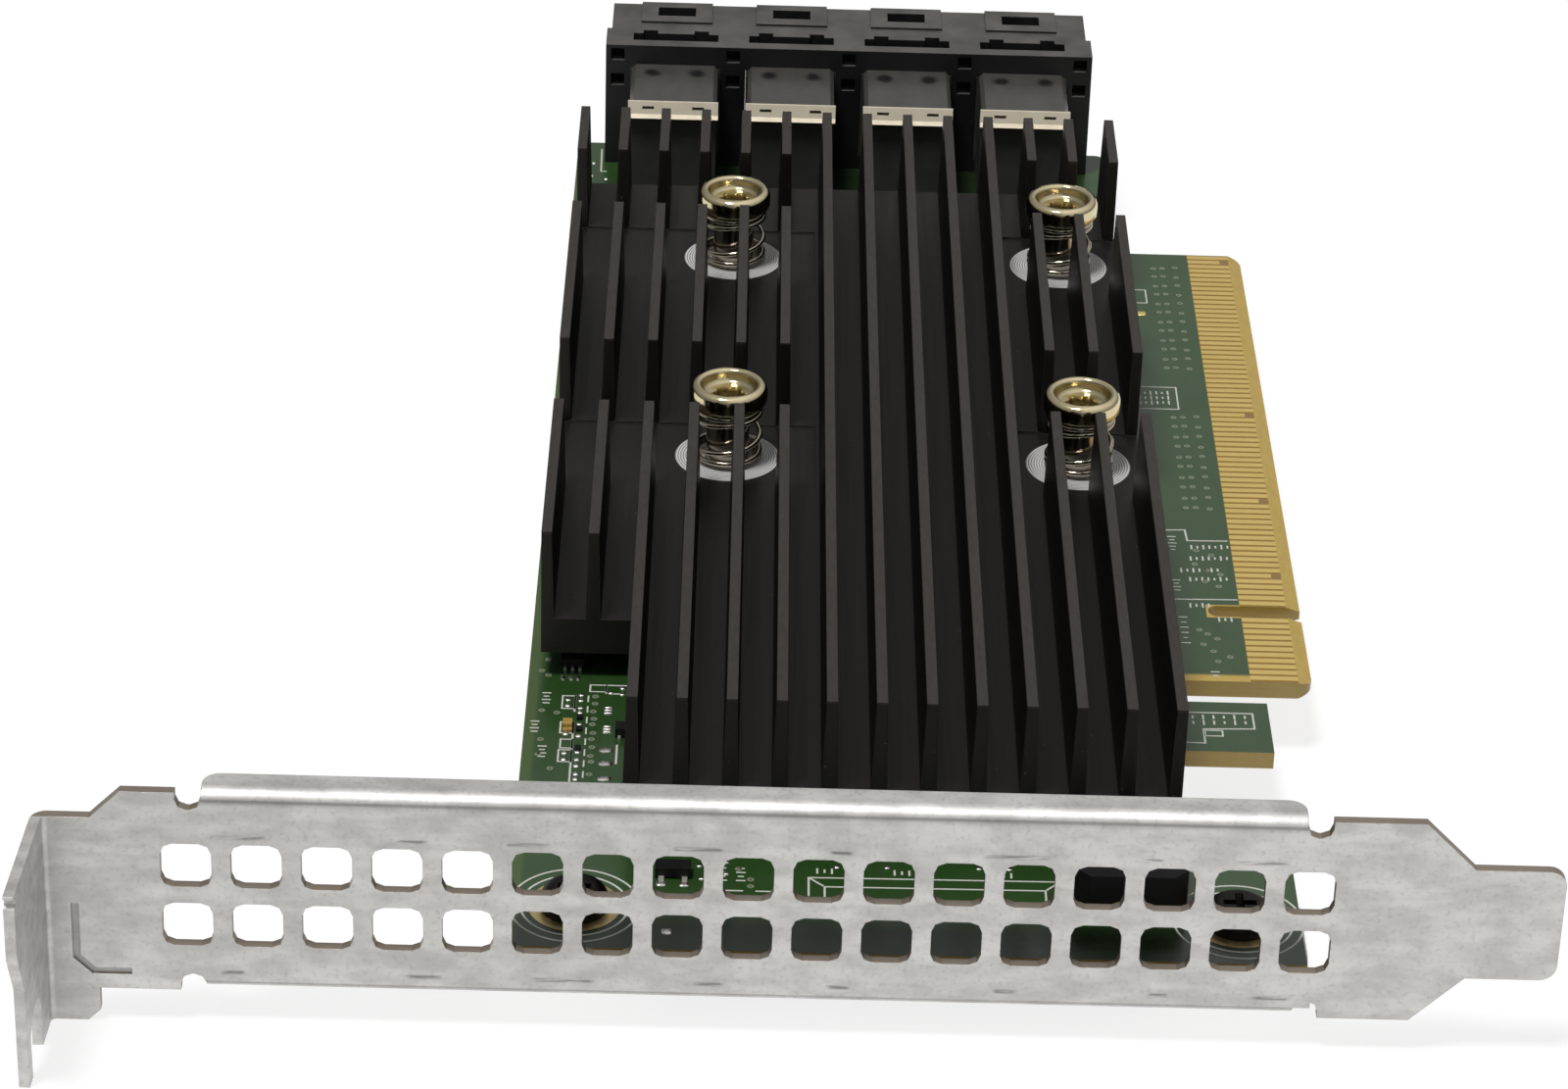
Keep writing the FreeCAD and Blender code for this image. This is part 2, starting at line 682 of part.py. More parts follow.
def bracket_lips(body):
    """Stiffening lips folded back along both long edges, with bend reliefs at their ends."""
    lips = sketch_on(body, "lip_section", "XZ_Plane", s.bracket_reach)
    rectangle(lips, lip_left, lip_right, plate_top - s.sheet, plate_top)
    rectangle(lips, lip_left, lip_right, plate_bottom, plate_bottom + s.sheet)
    pad(body, lips, s.lip_deep, toward_minus=True)
    lip_end = plate_face + s.lip_deep
    at_ends = upright_at([(lip_left, lip_end), (lip_right, lip_end)])

    def upper_corner(edge):
        above = plate_bottom.number + s.sheet.number + TOUCH
        return at_ends(edge) and all(v.Point.z > above for v in edge.Vertexes)

    dress(body, "Fillet", (s.lip_deep - s.bend_outer) * 0.8, upper_corner)
    reliefs = sketch_on(body, "bend_reliefs", "XZ_Plane", s.bracket_reach)
    for start in (lip_left - s.relief_wide, lip_right):
        for edge, side in ((plate_top, 1), (plate_bottom, -1)):
            inner = edge - s.relief_deep * side
            outer = edge + s.relief_wide * side
            low, high = (inner, outer) if side > 0 else (outer, inner)
            faceted_rectangle(reliefs, start, start + s.relief_wide, low, high, s.relief_corner)
    pocket(body, reliefs)

    def outer_bend(edge):
        ends = [v.Point for v in edge.Vertexes]
        if len(ends) != 2 or not all(near(p.y, plate_face) for p in ends):
            return False
        if not all(lip_left.number - TOUCH < p.x < lip_right.number + TOUCH for p in ends):
            return False
        return any(all(near(p.z, z) for p in ends) for z in (plate_top, plate_bottom))

    def inner_bend(edge):
        ends = [v.Point for v in edge.Vertexes]
        if len(ends) != 2 or not all(near(p.y, plate_back) for p in ends):
            return False
        seats = (plate_top - s.sheet, plate_bottom + s.sheet)
        along = abs(ends[0].x - ends[1].x) > s.lip_deep.number
        return along and any(all(near(p.z, z) for p in ends) for z in seats)

    dress(body, "Fillet", s.bend_outer - s.sheet, inner_bend)
    dress(body, "Fillet", s.bend_outer, outer_bend)


def bracket_tabs(body):
    """Two tabs that step up from the lower lip to the underside of the board."""
    tab_top = board_under
    tab_low = tab_top - s.sheet
    lip_top = plate_bottom + s.sheet
    lip_rear = plate_face + s.bend_outer
    rise_from = plate_face + s.tab_rise_from
    rise_to = plate_face + s.tab_rise_to
    tab_end = fix_row + s.tab_reach
    for n, (x, y) in enumerate(fix_places, 1):
        section = sketch_on(body, f"tab_section_{n}", "YZ_Plane", x)
        polygon(section, [
            (lip_rear, plate_bottom),
            (rise_from, plate_bottom),
            (rise_to, tab_low),
            (tab_end, tab_low),
            (tab_end, tab_top),
            (rise_to, tab_top),
            (rise_from, lip_top),
            (lip_rear, lip_top),
        ])
        pad(body, section, s.tab_wide, both_sides=True)
    holes = sketch_on(body, "tab_holes", "XY_Plane")
    for x, y in fix_places:
        circle(holes, x, y, s.fix_radius + s.thread_clear)
    pocket(body, holes)


def bracket_bead(body):
    """The hook-shaped groove pressed into the plate beside the flange."""
    groove = sketch_on(body, "bead_outline", "XZ_Plane", s.bracket_reach)
    left = flange_inner + s.bead_left
    low = plate_bottom + s.bead_low
    turn = s.bead_turn
    wide = s.bead_wide
    inside = wide * (math.sqrt(2) - 1)
    polygon(groove, [
        (left, low + s.bead_high),
        (left, low + turn),
        (left + turn, low),
        (left + s.bead_long, low),
        (left + s.bead_long, low + wide),
        (left + turn + inside, low + wide),
        (left + wide, low + turn + inside),
        (left + wide, low + s.bead_high),
    ])
    pocket(body, groove, s.bead_deep)


def make_bracket():
    body = new_body("slot_bracket")
    outline = sketch_on(body, "plate_outline", "XZ_Plane", s.bracket_reach)
    plate_outline(outline)
    pad(body, outline, s.sheet, toward_minus=True)
    tongue_corners = []
    for end in (plate_bottom + s.plate_wide / 2 - s.tongue_wide / 2,
                plate_bottom + s.plate_wide / 2 + s.tongue_wide / 2):
        tongue_corners.append(end)

    def tongue_edge(edge):
        ends = [v.Point for v in edge.Vertexes]
        if len(ends) != 2 or not all(near(p.x, s.tongue_end) for p in ends):
            return False
        return any(all(near(p.z, z) for p in ends) for z in tongue_corners)

    dress(body, "Fillet", s.tongue_corner, tongue_edge)
    bracket_lips(body)
    bracket_flange(body)
    dress(body, "Fillet", s.bend_outer - s.sheet, upright_at([(flange_inner, plate_face)]))
    dress(body, "Fillet", s.bend_outer, upright_at([(flange_outer, plate_back)]))
    bracket_tabs(body)
    bracket_bead(body)
    vents = sketch_on(body, "vents", "XZ_Plane", s.bracket_reach)
    half = s.vent / 2
    first_vent = flange_outer + s.vent_left_inset
    last_vent = s.tongue_end - s.vent_right_inset
    for side in (-1, 1):
        middle = s.vent_middle + s.vent_rows_apart * side / 2
        faceted_rectangle(
            vents, first_vent - half, first_vent + half,
            middle - half, middle + half, s.vent_corner)
    repeat(body, pocket(body, vents, s.sheet), last_vent - first_vent, s.vent_columns, -1)


def fin_left(number):
    return first_fin + fin_pitch * number - s.fin_thick / 2


def make_heatsink():
    body = new_body("heatsink")
    left = fin_left(0)
    inner = fin_left(SHORT_FINS)
    right = fin_left(FIN_COUNT - 1) + s.fin_thick
    base = sketch_on(body, "sink_base", "XY_Plane", base_low)
    polygon(base, [
        (left, -s.sink_step),
        (inner, -s.sink_step),
        (inner, sink_front),
        (right, sink_front),
        (right, sink_rear),
        (left, sink_rear),
    ])
    pad(body, base, s.base_thick)
    for name, start, front, count in (
        ("short_fins", 0, -s.sink_step, SHORT_FINS),
        ("long_fins", SHORT_FINS, sink_front, FIN_COUNT - SHORT_FINS),
    ):
        fin = sketch_on(body, name, "XY_Plane", base_top)
        rectangle(fin, fin_left(start), fin_left(start) + s.fin_thick, front, sink_rear)
        repeat(body, pad(body, fin, s.fin_high), fin_pitch * (count - 1), count, 1)
    cuts = sketch_on(body, "cross_cuts", "XY_Plane", cut_floor)
    left_end = fin_left(WHOLE_FINS[0]) - s.cut_inset
    right_end = fin_left(WHOLE_FINS[1]) + s.fin_thick + s.cut_inset
    for side in (-1, 1):
        middle = s.screw_y + s.screw_span_y * side / 2
        front = middle - s.cut_long / 2
        rear = middle + s.cut_long / 2
        rectangle(cuts, left - s.fin_thick, left_end, front, rear)
        rectangle(cuts, right_end, right + s.fin_thick, front, rear)
    pocket(body, cuts, s.fin_high + s.base_thick, along_normal=True)
    holes = sketch_on(body, "sink_holes", "XY_Plane")
    for x, y in screw_places:
        circle(holes, x, y, s.screw_shank + s.screw_clear)
    pocket(body, holes)


def make_spring_screws():
    body = new_body("spring_screw_single", is_node=False)
    profile = sketch_on(body, "spring_screw_profile", "XZ_Plane")
    tip = board_under - s.nut_high + s.screw_tip
    socket_floor = s.screw_top - s.screw_socket
    polygon(profile, [
        (0, tip),
        (s.screw_thread, tip),
        (s.screw_thread, board_top),
        (s.screw_shank, board_top),
        (s.screw_shank, screw_head_low),
        (s.screw_head, screw_head_low),
        (s.screw_head, s.screw_top),
        (s.screw_head - s.screw_rim, s.screw_top),
        (s.screw_head - s.screw_rim, socket_floor),
        (0, socket_floor),
    ])
    revolve(body, profile)
    group("heatsink_screws", copies(body.Tip.Shape, screw_places))


def make_nuts():
    body = new_body("nut_single", is_node=False)
    outline = sketch_on(body, "nut_outline", "XY_Plane", board_under - s.nut_high)
    half_flat = s.nut_flats / 2
    corner = half_flat * (2 / math.sqrt(3))
    polygon(outline, [
        (corner, 0), (corner / 2, half_flat), (-(corner / 2), half_flat),
        (-corner, 0), (-(corner / 2), -half_flat), (corner / 2, -half_flat),
    ])
    circle(outline, 0, 0, s.screw_thread + s.thread_clear)
    pad(body, outline, s.nut_high)
    group("heatsink_nuts", copies(body.Tip.Shape, screw_places))


def make_springs():
    """Compression springs with closed ends, lofted through sections along the coil."""
    low = (cut_floor + s.coil_seat + s.wire / 2).number
    high = (screw_head_low - s.coil_seat - s.wire / 2).number
    closed_pitch = s.coil_close.number
    free_pitch = (high - low - 2 * closed_pitch * CLOSED_TURNS) / FREE_TURNS
    turns = 2 * CLOSED_TURNS + FREE_TURNS
    steps = round(turns * SECTIONS_PER_TURN)
    up = FreeCAD.Vector(0, 0, 1)
    sections = []
    for step in range(steps + 1):
        turn = turns * step / steps
        free = min(max(turn - CLOSED_TURNS, 0.0), FREE_TURNS)
        height = low + free_pitch * free + closed_pitch * (turn - free)
        angle = 2 * math.pi * turn
        outward = FreeCAD.Vector(math.cos(angle), math.sin(angle), 0)
        middle = outward * s.coil_radius.number + up * height
        corners = []
        for side in range(WIRE_SIDES):
            around = 2 * math.pi * (side + 0.5) / WIRE_SIDES
            spoke = outward * math.cos(around) + up * math.sin(around)
            corners.append(middle + spoke * (s.wire.number / 2))
        sections.append(Part.makePolygon(corners + corners[:1]))
    coil = Part.makeLoft(sections, True, True)
    group("heatsink_springs", copies(coil, screw_places))


def make_board_screws():
    body = new_body("board_screw_single", is_node=False)
    profile = sketch_on(body, "board_screw_profile", "XZ_Plane")
    tip = board_under - s.sheet - s.fix_tip
    head_top = board_top + s.fix_head_high
    polygon(profile, [
        (0, tip),
        (s.fix_radius, tip),
        (s.fix_radius, board_top),
        (s.fix_head, board_top),
        (s.fix_head, head_top),
        (0, head_top),
    ])
    revolve(body, profile)
    group("bracket_screws", copies(body.Tip.Shape, fix_places))


def make_chip():
    half = s.chip_wide / 2
    lid = half - s.chip_inset
    x, y = screw_middle, s.screw_y
    lid_low = board_top + s.chip_base
    joined("switch_chip", [
        box("chip_substrate", x - half, x + half, y - half, y + half, board_top, lid_low),
        box("chip_cover", x - lid, x + lid, y - lid, y + lid, lid_low, chip_top),
    ])
    thermal = box("thermal_pad", x - lid, x + lid, y - lid, y + lid, chip_top, base_low)
    thermal.Label = "thermal_pad"
    nodes.append(thermal)


def make_housing():
    body = new_body("connector_housing")
    sockets_half = (s.port_span + s.socket_wide) / 2
    for name, front, rear, side in (
        ("house_front_section", house_front, house_step, s.house_side),
        ("house_rear_section", house_step, house_rear, s.house_side_rear),
    ):
        half = sockets_half + side
        section = sketch_on(body, name, "XZ_Plane", -front)
        rectangle(section, -s.port_middle - half, -s.port_middle + half, board_top, house_top)
        pad(body, section, rear - front, toward_minus=True)
    land = sketch_on(body, "latch_land", "XY_Plane", house_top)
    rectangle(land, first_port - s.land_wide / 2, first_port + s.land_wide / 2,
              house_rear - s.land_long, house_rear)
    repeat(body, pad(body, land, s.land_high), s.port_span, s.ports, 1)
    socket = sketch_on(body, "socket", "XZ_Plane", -house_front)
    rectangle(socket, first_port - s.socket_wide / 2, first_port + s.socket_wide / 2,
              socket_low, socket_low + s.socket_high)
    repeat(body, pocket(body, socket), s.port_span, s.ports, -1)
    roof = house_top + s.land_high
    windows = sketch_on(body, "latch_windows", "XY_Plane", roof)
    window_front = house_rear - s.window_rear - s.window_long
    rectangle(windows, first_port - s.window_wide / 2, first_port + s.window_wide / 2,
              window_front, window_front + s.window_long)
    gate_left = first_port - s.gate_wide / 2
    gate_right = first_port + s.gate_wide / 2
    gate_front = house_front + s.gate_front
    gate_rear = gate_front + s.gate_long
    ear_rear = gate_rear + s.gate_ear_long
    polygon(windows, [
        (gate_left, gate_front),
        (gate_right, gate_front),
        (gate_right, gate_rear),
        (gate_right - s.gate_ear_place, gate_rear),
        (gate_right - s.gate_ear_place, ear_rear),
        (gate_right - s.gate_ear_place - s.gate_ear, ear_rear),
        (gate_right - s.gate_ear_place - s.gate_ear, gate_rear),
        (gate_left + s.gate_ear_place + s.gate_ear, gate_rear),
        (gate_left + s.gate_ear_place + s.gate_ear, ear_rear),
        (gate_left + s.gate_ear_place, ear_rear),
        (gate_left + s.gate_ear_place, gate_rear),
        (gate_left, gate_rear),
    ])
    roof_cut = roof - socket_low - s.socket_high / 2
    repeat(body, pocket(body, windows, roof_cut), s.port_span, s.ports, -1)
    ribs = sketch_on(body, "rib_holes", "XZ_Plane", -house_front)
    outer = sockets_half + s.house_side / 2
    walls = [-s.port_middle - outer, -s.port_middle + outer]
    for port in range(1, int(s.ports.number)):
        walls.append(first_port + port_pitch * (port - 0.5))
    for wall in walls:
        for n in range(2):
            middle = house_top - s.rib_hole_top - s.rib_hole_pitch * n
            rectangle(ribs, wall - s.rib_hole_wide / 2, wall + s.rib_hole_wide / 2,
                      middle - s.rib_hole_high / 2, middle + s.rib_hole_high / 2)
    pocket(body, ribs, s.rib_hole_deep)


def make_module(number):
    body = new_body(f"port_module_{number}")
    x = first_port + port_pitch * (number - 1)
    half = s.module_wide / 2
    block = sketch_on(body, f"module_section_{number}", "XZ_Plane", -module_front)
    top = board_top + s.module_high
    polygon(block, [
        (x - half, board_top),
        (x + half, board_top),
        (x + half, top - s.module_chamfer),
        (x + half - s.module_chamfer, top),
        (x - half + s.module_chamfer, top),
        (x - half, top - s.module_chamfer),
    ])
    pad(body, block, s.module_long, toward_minus=True)
    nose = sketch_on(body, f"module_nose_{number}", "XZ_Plane", -house_front)
    nose_half = s.socket_wide / 2 - s.nose_clear
    nose_low = socket_low + s.nose_clear
    nose_high = socket_low + s.socket_high - s.nose_clear
    rectangle(nose, x - nose_half, x + nose_half, nose_low, nose_high)
    pad(body, nose, s.nose_long, toward_minus=True)
    slot = sketch_on(body, f"card_slot_{number}", "XZ_Plane", -(house_front + s.nose_long))
    middle = socket_low + s.socket_high / 2
    rectangle(slot, x - s.card_slot_wide / 2, x + s.card_slot_wide / 2,
              middle - s.card_slot_high / 2, middle + s.card_slot_high / 2)
    pocket(body, slot, s.card_slot_deep, along_normal=True)


def make_clip(number):
    """Sheet strip across a module's front, its lower edge turned out."""
    body = new_body(f"port_clip_{number}")
    x = first_port + port_pitch * (number - 1)
    section = sketch_on(body, f"clip_section_{number}", "YZ_Plane", x)
    back = module_front
    front = back - s.clip_thick
    top = board_top + s.module_high
    low = top - s.clip_high
    turn = low + s.clip_flare
    polygon(section, [
        (back, top),
        (front, top),
        (front, turn),
        (front - s.clip_flare, low),
        (back - s.clip_flare, low),
        (back, turn),
    ])
    pad(body, section, s.clip_wide, both_sides=True)
    slots = sketch_on(body, f"clip_slots_{number}", "XZ_Plane", -front)
    middle = (top + turn) / 2
    for side in (-1, 1):
        centre = x + s.clip_slot_span * side / 2
        rectangle(slots, centre - s.clip_slot_wide / 2, centre + s.clip_slot_wide / 2,
                  middle - s.clip_slot_high / 2, middle + s.clip_slot_high / 2)
    pocket(body, slots, s.clip_thick)


def make_choke():
    body = new_body("power_choke")
    x, y = -s.choke_x, plate_face + s.choke_inset
    half_x, half_y, cut = s.choke_wide / 2, s.choke_long / 2, s.choke_chamfer
    outline = sketch_on(body, "choke_outline", "XY_Plane", board_top)
    polygon(outline, [
        (x - half_x + cut, y - half_y),
        (x + half_x - cut, y - half_y),
        (x + half_x, y - half_y + cut),
        (x + half_x, y + half_y - cut),
        (x + half_x - cut, y + half_y),
        (x - half_x + cut, y + half_y),
        (x - half_x, y + half_y - cut),
        (x - half_x, y - half_y + cut),
    ])
    pad(body, outline, s.choke_high)


def make_leaded(label, x, y, size, lead_wide, front_leads, rear_leads):
    """A small package on gull-wing leads: a block, and a flat foot for each lead."""
    wide, long, high = size
    pieces = [box(f"{label}_block", x - wide / 2, x + wide / 2, y - long / 2, y + long / 2,
                  board_top + s.lead_thick, board_top + high)]
    rows = ((front_leads, y - long / 2 - s.lead_reach, y), (rear_leads, y, y + long / 2 + s.lead_reach))
    for leads, near_end, far_end in rows:
        for offset in leads:
            middle = x + offset
            pieces.append(box(
                f"{label}_lead_{len(pieces)}", middle - lead_wide / 2, middle + lead_wide / 2,
                near_end, far_end, board_top, board_top + s.lead_thick * 2))
    joined(label, pieces)


def make_small_parts():
    half_pitch = s.sot_pitch / 2
    make_leaded("transistor", far_edge + s.sot_edge, plate_face + s.sot_inset, (s.sot_wide, s.sot_long, s.sot_high),
                s.sot_lead, (-half_pitch, half_pitch), (as_size(0),))
    six_leads = (-s.six_pitch, as_size(0), s.six_pitch)
    six_size = (s.six_wide, s.six_long, s.six_high)
    make_leaded("driver_chip", far_edge + s.driver_edge, -s.driver_y, six_size, s.six_lead, six_leads, six_leads)
    make_leaded("sensor_chip", far_edge + s.sensor_edge, -s.sensor_y, six_size, s.six_lead, six_leads, six_leads)
    x, y = far_edge + s.led_edge, -s.led_y
    half = s.led_wide / 2
    base_high = board_top + s.led_base
    joined("status_light", [
        box("light_base", x - half, x + half, y - s.led_long / 2, y + s.led_long / 2,
            board_top, base_high),
        box("light_lens", x - half, x + half, y - s.led_lens / 2, y + s.led_lens / 2,
            base_high, board_top + s.led_high),
    ])


def check_and_write():
    doc.recompute()
    for thing in doc.Objects:
        if "Invalid" in thing.State or "Error" in thing.State:
            raise RuntimeError(f"{thing.Label} failed: {thing.State}")
    for node in nodes:
        if node.Shape.isNull() or not node.Shape.isValid():
            raise RuntimeError(f"{node.Label} has no valid shape")
    os.makedirs("parts", exist_ok=True)
    for node in nodes:
        node.Shape.exportStep(f"parts/{node.Label}.step")
        print(f"{node.Label}: {len(node.Shape.Solids)} solids, {node.Shape.Volume:.2f} mm3")


make_board()
make_contacts("contact_pads_upper", board_top, SHORT_PADS_UPPER)
make_contacts("contact_pads_lower", board_under - s.pad_thick, SHORT_PADS_LOWER)
make_bracket()
make_board_screws()
make_chip()
make_heatsink()
make_spring_screws()
make_springs()
make_nuts()
make_housing()
for port in range(1, int(s.ports.number) + 1):
    make_module(port)
    make_clip(port)
make_choke()
make_small_parts()
check_and_write()
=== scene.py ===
"""Looks of an extender card: camera, light, materials and the fine detail that its solids leave out.

Places are in millimetres in the part's own frame: +X out of the contact edge, +Y from the bracket to the
cable sockets, +Z up from the component side.
"""

import json
import math

import bmesh
import bpy
from mathutils import Euler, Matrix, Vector


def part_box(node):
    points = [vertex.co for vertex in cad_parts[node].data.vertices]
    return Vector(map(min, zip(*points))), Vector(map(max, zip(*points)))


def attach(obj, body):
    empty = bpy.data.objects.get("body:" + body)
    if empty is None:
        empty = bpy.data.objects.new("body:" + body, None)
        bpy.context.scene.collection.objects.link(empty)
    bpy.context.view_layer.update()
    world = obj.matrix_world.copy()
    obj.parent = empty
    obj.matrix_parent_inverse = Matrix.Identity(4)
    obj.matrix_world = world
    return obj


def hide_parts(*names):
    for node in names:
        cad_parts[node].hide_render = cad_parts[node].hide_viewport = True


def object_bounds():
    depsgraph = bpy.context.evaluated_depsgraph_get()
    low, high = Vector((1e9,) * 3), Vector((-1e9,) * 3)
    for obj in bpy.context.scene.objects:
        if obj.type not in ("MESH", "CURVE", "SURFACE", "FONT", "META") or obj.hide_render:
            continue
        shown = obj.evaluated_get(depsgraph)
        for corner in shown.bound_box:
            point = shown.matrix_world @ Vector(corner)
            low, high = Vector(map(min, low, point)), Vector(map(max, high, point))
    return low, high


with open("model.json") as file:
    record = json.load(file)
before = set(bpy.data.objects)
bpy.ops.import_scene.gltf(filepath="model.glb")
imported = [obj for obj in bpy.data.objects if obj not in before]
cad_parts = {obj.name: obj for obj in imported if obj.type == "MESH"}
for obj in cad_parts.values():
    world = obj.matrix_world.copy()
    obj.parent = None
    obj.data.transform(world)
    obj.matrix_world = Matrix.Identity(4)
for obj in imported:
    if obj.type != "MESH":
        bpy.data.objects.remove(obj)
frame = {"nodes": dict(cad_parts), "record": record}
CAD_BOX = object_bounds()
NODES = frame["nodes"]
MM = 0.001

# Camera, fitted to the photograph.
CAMERA_PLACE = (-50.7495, -384.4559, 222.9378)
CAMERA_TURN = (60.6058, -1.5801, 0.2152)
CAMERA_LENS = 114.56
SENSOR_WIDTH = 36.0

# Light: a soft sky, brightest overhead, and one lamp from the front and above.
SKY_FILL = 0.3
SKY_LOW, SKY_HIGH = 0.1, 0.76
SKY_SIDES = 0.32
LAMP_STRENGTH = 1.8
LAMP_SPREAD = 12.0
LAMP_TURN = (11.0, -12.0, 0.0)

# Floor: width, distance below the part, tone under bounced light and where it is seen, and glow.
FLOOR_WIDTH, FLOOR_BELOW = 6000.0, 0.02
FLOOR_BOUNCE, FLOOR_SHADE, FLOOR_GLOW = 0.4, 0.26, 0.82

# Board, screws and ports, as in the solids, and the height of the ink on the board.
BOARD_TOP, BOARD_LOW = 0.785, -0.785
SPRING_SCREWS = [(x, y) for x in (-51.45, -19.45) for y in (16.0, 57.0)]
BRACKET_SCREWS = [(-62.7, -49.8), (-9.35, -49.8)]
PORTS = [-58.0, -46.0, -34.0, -22.0]
PORT_PITCH = 12.0
PRINT_HIGH = 0.016

# Heatsink fins: how many, how many start further back, the uncut ones, and the cuts across the others.
FIN_COUNT, SHORT_FINS, WHOLE_FINS = 14, 2, (6, 10)
SINK_LOW, SINK_HIGH = (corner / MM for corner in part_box("heatsink"))
FIN_THICK, FIN_DRAFT = 0.9, 0.22
FIN_BASE, FIN_TOP = 6.685, SINK_HIGH.z
SHORT_FRONT = -14.35
CUT_LONG = 12.0

# Turned spots round the spring screws: height of the floor they lie on, bore, radius and thickness.
SINK_FLOOR = 6.535
SPOT_BORE, SPOT_RADIUS, SPOT_HIGH = 2.0, 4.78, 0.015

# Slot bracket: middle and half length of its folded lips, middle of the plate's width, heights of the two
# lines of scuffs, and how far apart the scuffs lie.
FOLD_MIDDLE, FOLD_HALF = -48.47, 43.07
PLATE_MIDDLE = 5.94
SCUFF_LINES = (11.15, -1.5)
SCUFF_PITCH = 11.7

# Clips: how far the shading of their fronts leans up.
CLIP_LEAN = 0.65

# Leaded chips: length of the black body between its leads.
LEADED = {"transistor": 1.4, "driver_chip": 1.25, "sensor_chip": 1.25}

# Spring wire and turns, and how finely the wire is drawn along and round.
WIRE = 0.5
COIL_RADIUS = 2.9
COIL_LOW, COIL_HIGH = 6.81, 12.02
CLOSED_TURNS, FREE_TURNS, CLOSED_PITCH = 1.5, 1.25, 0.56
WIRE_STEPS, WIRE_SIDES = 136, 12

# Edges sharper than this, in degrees, stay crisp on smooth pieces.
SHARP_EDGE = 38


def srgb(red, green, blue):
    """A shader colour from screen values of 0 to 255."""
    def linear(value):
        value /= 255
        return value / 12.92 if value <= 0.04045 else ((value + 0.055) / 1.055) ** 2.4
    return (linear(red), linear(green), linear(blue), 1.0)


class Look:
    """A node material under construction, with places read in millimetres."""

    def __init__(self, name, metallic=0.0, roughness=0.5, **fixed):
        self.material = bpy.data.materials.new(name)
        self.material.use_nodes = True
        self.tree = self.material.node_tree
        self.shader = self.tree.nodes["Principled BSDF"]
        fixed = {"Metallic": metallic, "Roughness": roughness, **fixed}
        for socket, value in fixed.items():
            self.shader.inputs[socket].default_value = value
        at = self.make("ShaderNodeTexCoord").outputs["Object"]
        scaled = self.make("ShaderNodeVectorMath", {0: at, "Scale": 1 / MM}, operation="SCALE")
        self.place = scaled.outputs[0]
        self.axes = self.make("ShaderNodeSeparateXYZ", {0: self.place}).outputs
        self.normal = None

    def make(self, kind, inputs=None, **settings):
        node = self.tree.nodes.new(kind)
        for key, value in settings.items():
            setattr(node, key, value)
        for key, value in (inputs or {}).items():
            if isinstance(value, bpy.types.NodeSocket):
                self.tree.links.new(value, node.inputs[key])
            else:
                node.inputs[key].default_value = value
        return node

    def math(self, operation, first, second=0.0):
        return self.make("ShaderNodeMath", {0: first, 1: second}, operation=operation).outputs[0]

    def step(self, value, low, high):
        """0 below low and 1 above high, smooth between; low may be the greater."""
        inputs = {"Value": value, "From Min": low, "From Max": high}
        return self.make("ShaderNodeMapRange", inputs, interpolation_type="SMOOTHSTEP").outputs[0]

    def both(self, first, second):
        return self.math("MULTIPLY", first, second)

    def either(self, first, second):
        return self.math("MAXIMUM", first, second)

    def away(self, value, middle):
        """Distance of a value from a middle, to either side."""
        return self.math("ABSOLUTE", self.math("SUBTRACT", value, middle))

    def span(self, across, along):
        """Length of the diagonal over two distances."""
        return self.math("SQRT", self.math("ADD", self.both(across, across), self.both(along, along)))

    def noise(self, size, stretch=(1, 1, 1), detail=3.0):
        scale = [1 / (size * part) for part in stretch]
        at = self.make("ShaderNodeMapping", {"Vector": self.place, "Scale": scale}).outputs[0]
        inputs = {"Vector": at, "Scale": 1.0, "Detail": detail}
        return self.make("ShaderNodeTexNoise", inputs).outputs[0]

    def facing(self, axis):
        """How squarely the true surface faces along an axis, without regard to sign."""
        normal = self.make("ShaderNodeNewGeometry").outputs["True Normal"]
        return self.math("ABSOLUTE", self.make("ShaderNodeSeparateXYZ", {0: normal}).outputs[axis])

    def mix(self, factor, first, second):
        inputs = {0: factor, 6: first, 7: second}
        return self.make("ShaderNodeMix", inputs, data_type="RGBA").outputs[2]

    def colour(self, value):
        self.tree.links.new(value, self.shader.inputs["Base Color"])

    def rough(self, factor, low, high):
        inputs = {"Value": factor, "From Min": 0.3, "From Max": 0.7, "To Min": low, "To Max": high}
        value = self.make("ShaderNodeMapRange", inputs).outputs[0]
        self.tree.links.new(value, self.shader.inputs["Roughness"])

    def soften(self, radius):
        """Catches light along edges, as a small worn radius does."""
        self.normal = self.make("ShaderNodeBevel", {"Radius": radius * MM}, samples=4).outputs[0]
        self.tree.links.new(self.normal, self.shader.inputs["Normal"])

    def bump(self, height, depth, strength=1.0):
        inputs = {"Height": height, "Distance": depth * MM, "Strength": strength}
        if self.normal:
            inputs["Normal"] = self.normal
        self.normal = self.make("ShaderNodeBump", inputs).outputs[0]
        self.tree.links.new(self.normal, self.shader.inputs["Normal"])


def board_mask(look):
    """Green with a faint weave, paler along the far margin, with painted shade under the bracket's lip and in
    front of the sockets.
    """
    x, y, _ = look.axes
    green = look.mix(look.noise(9.0), srgb(34, 64, 26), srgb(47, 80, 33))
    weave = look.noise(0.5, (1, 5, 1))
    green = look.mix(look.both(weave, 0.25), green, srgb(58, 94, 44))
    # Painted shade: the board is darkened under the bracket's lip and in front of the sockets, where their
    # shadow falls.
    by_sockets = look.both(look.step(y, 73.5, 75.5), look.step(x, -63.8, -63.4))
    painted_board_shade = look.either(look.step(y, -50.4, -51.4), look.both(by_sockets, look.step(x, -16.0, -16.4)))
    green = look.mix(look.both(painted_board_shade, 0.7), green, srgb(28, 36, 22))
    margin = look.step(x, -66.9, -67.4)
    return look.mix(look.both(margin, 0.6), green, srgb(82, 104, 44))


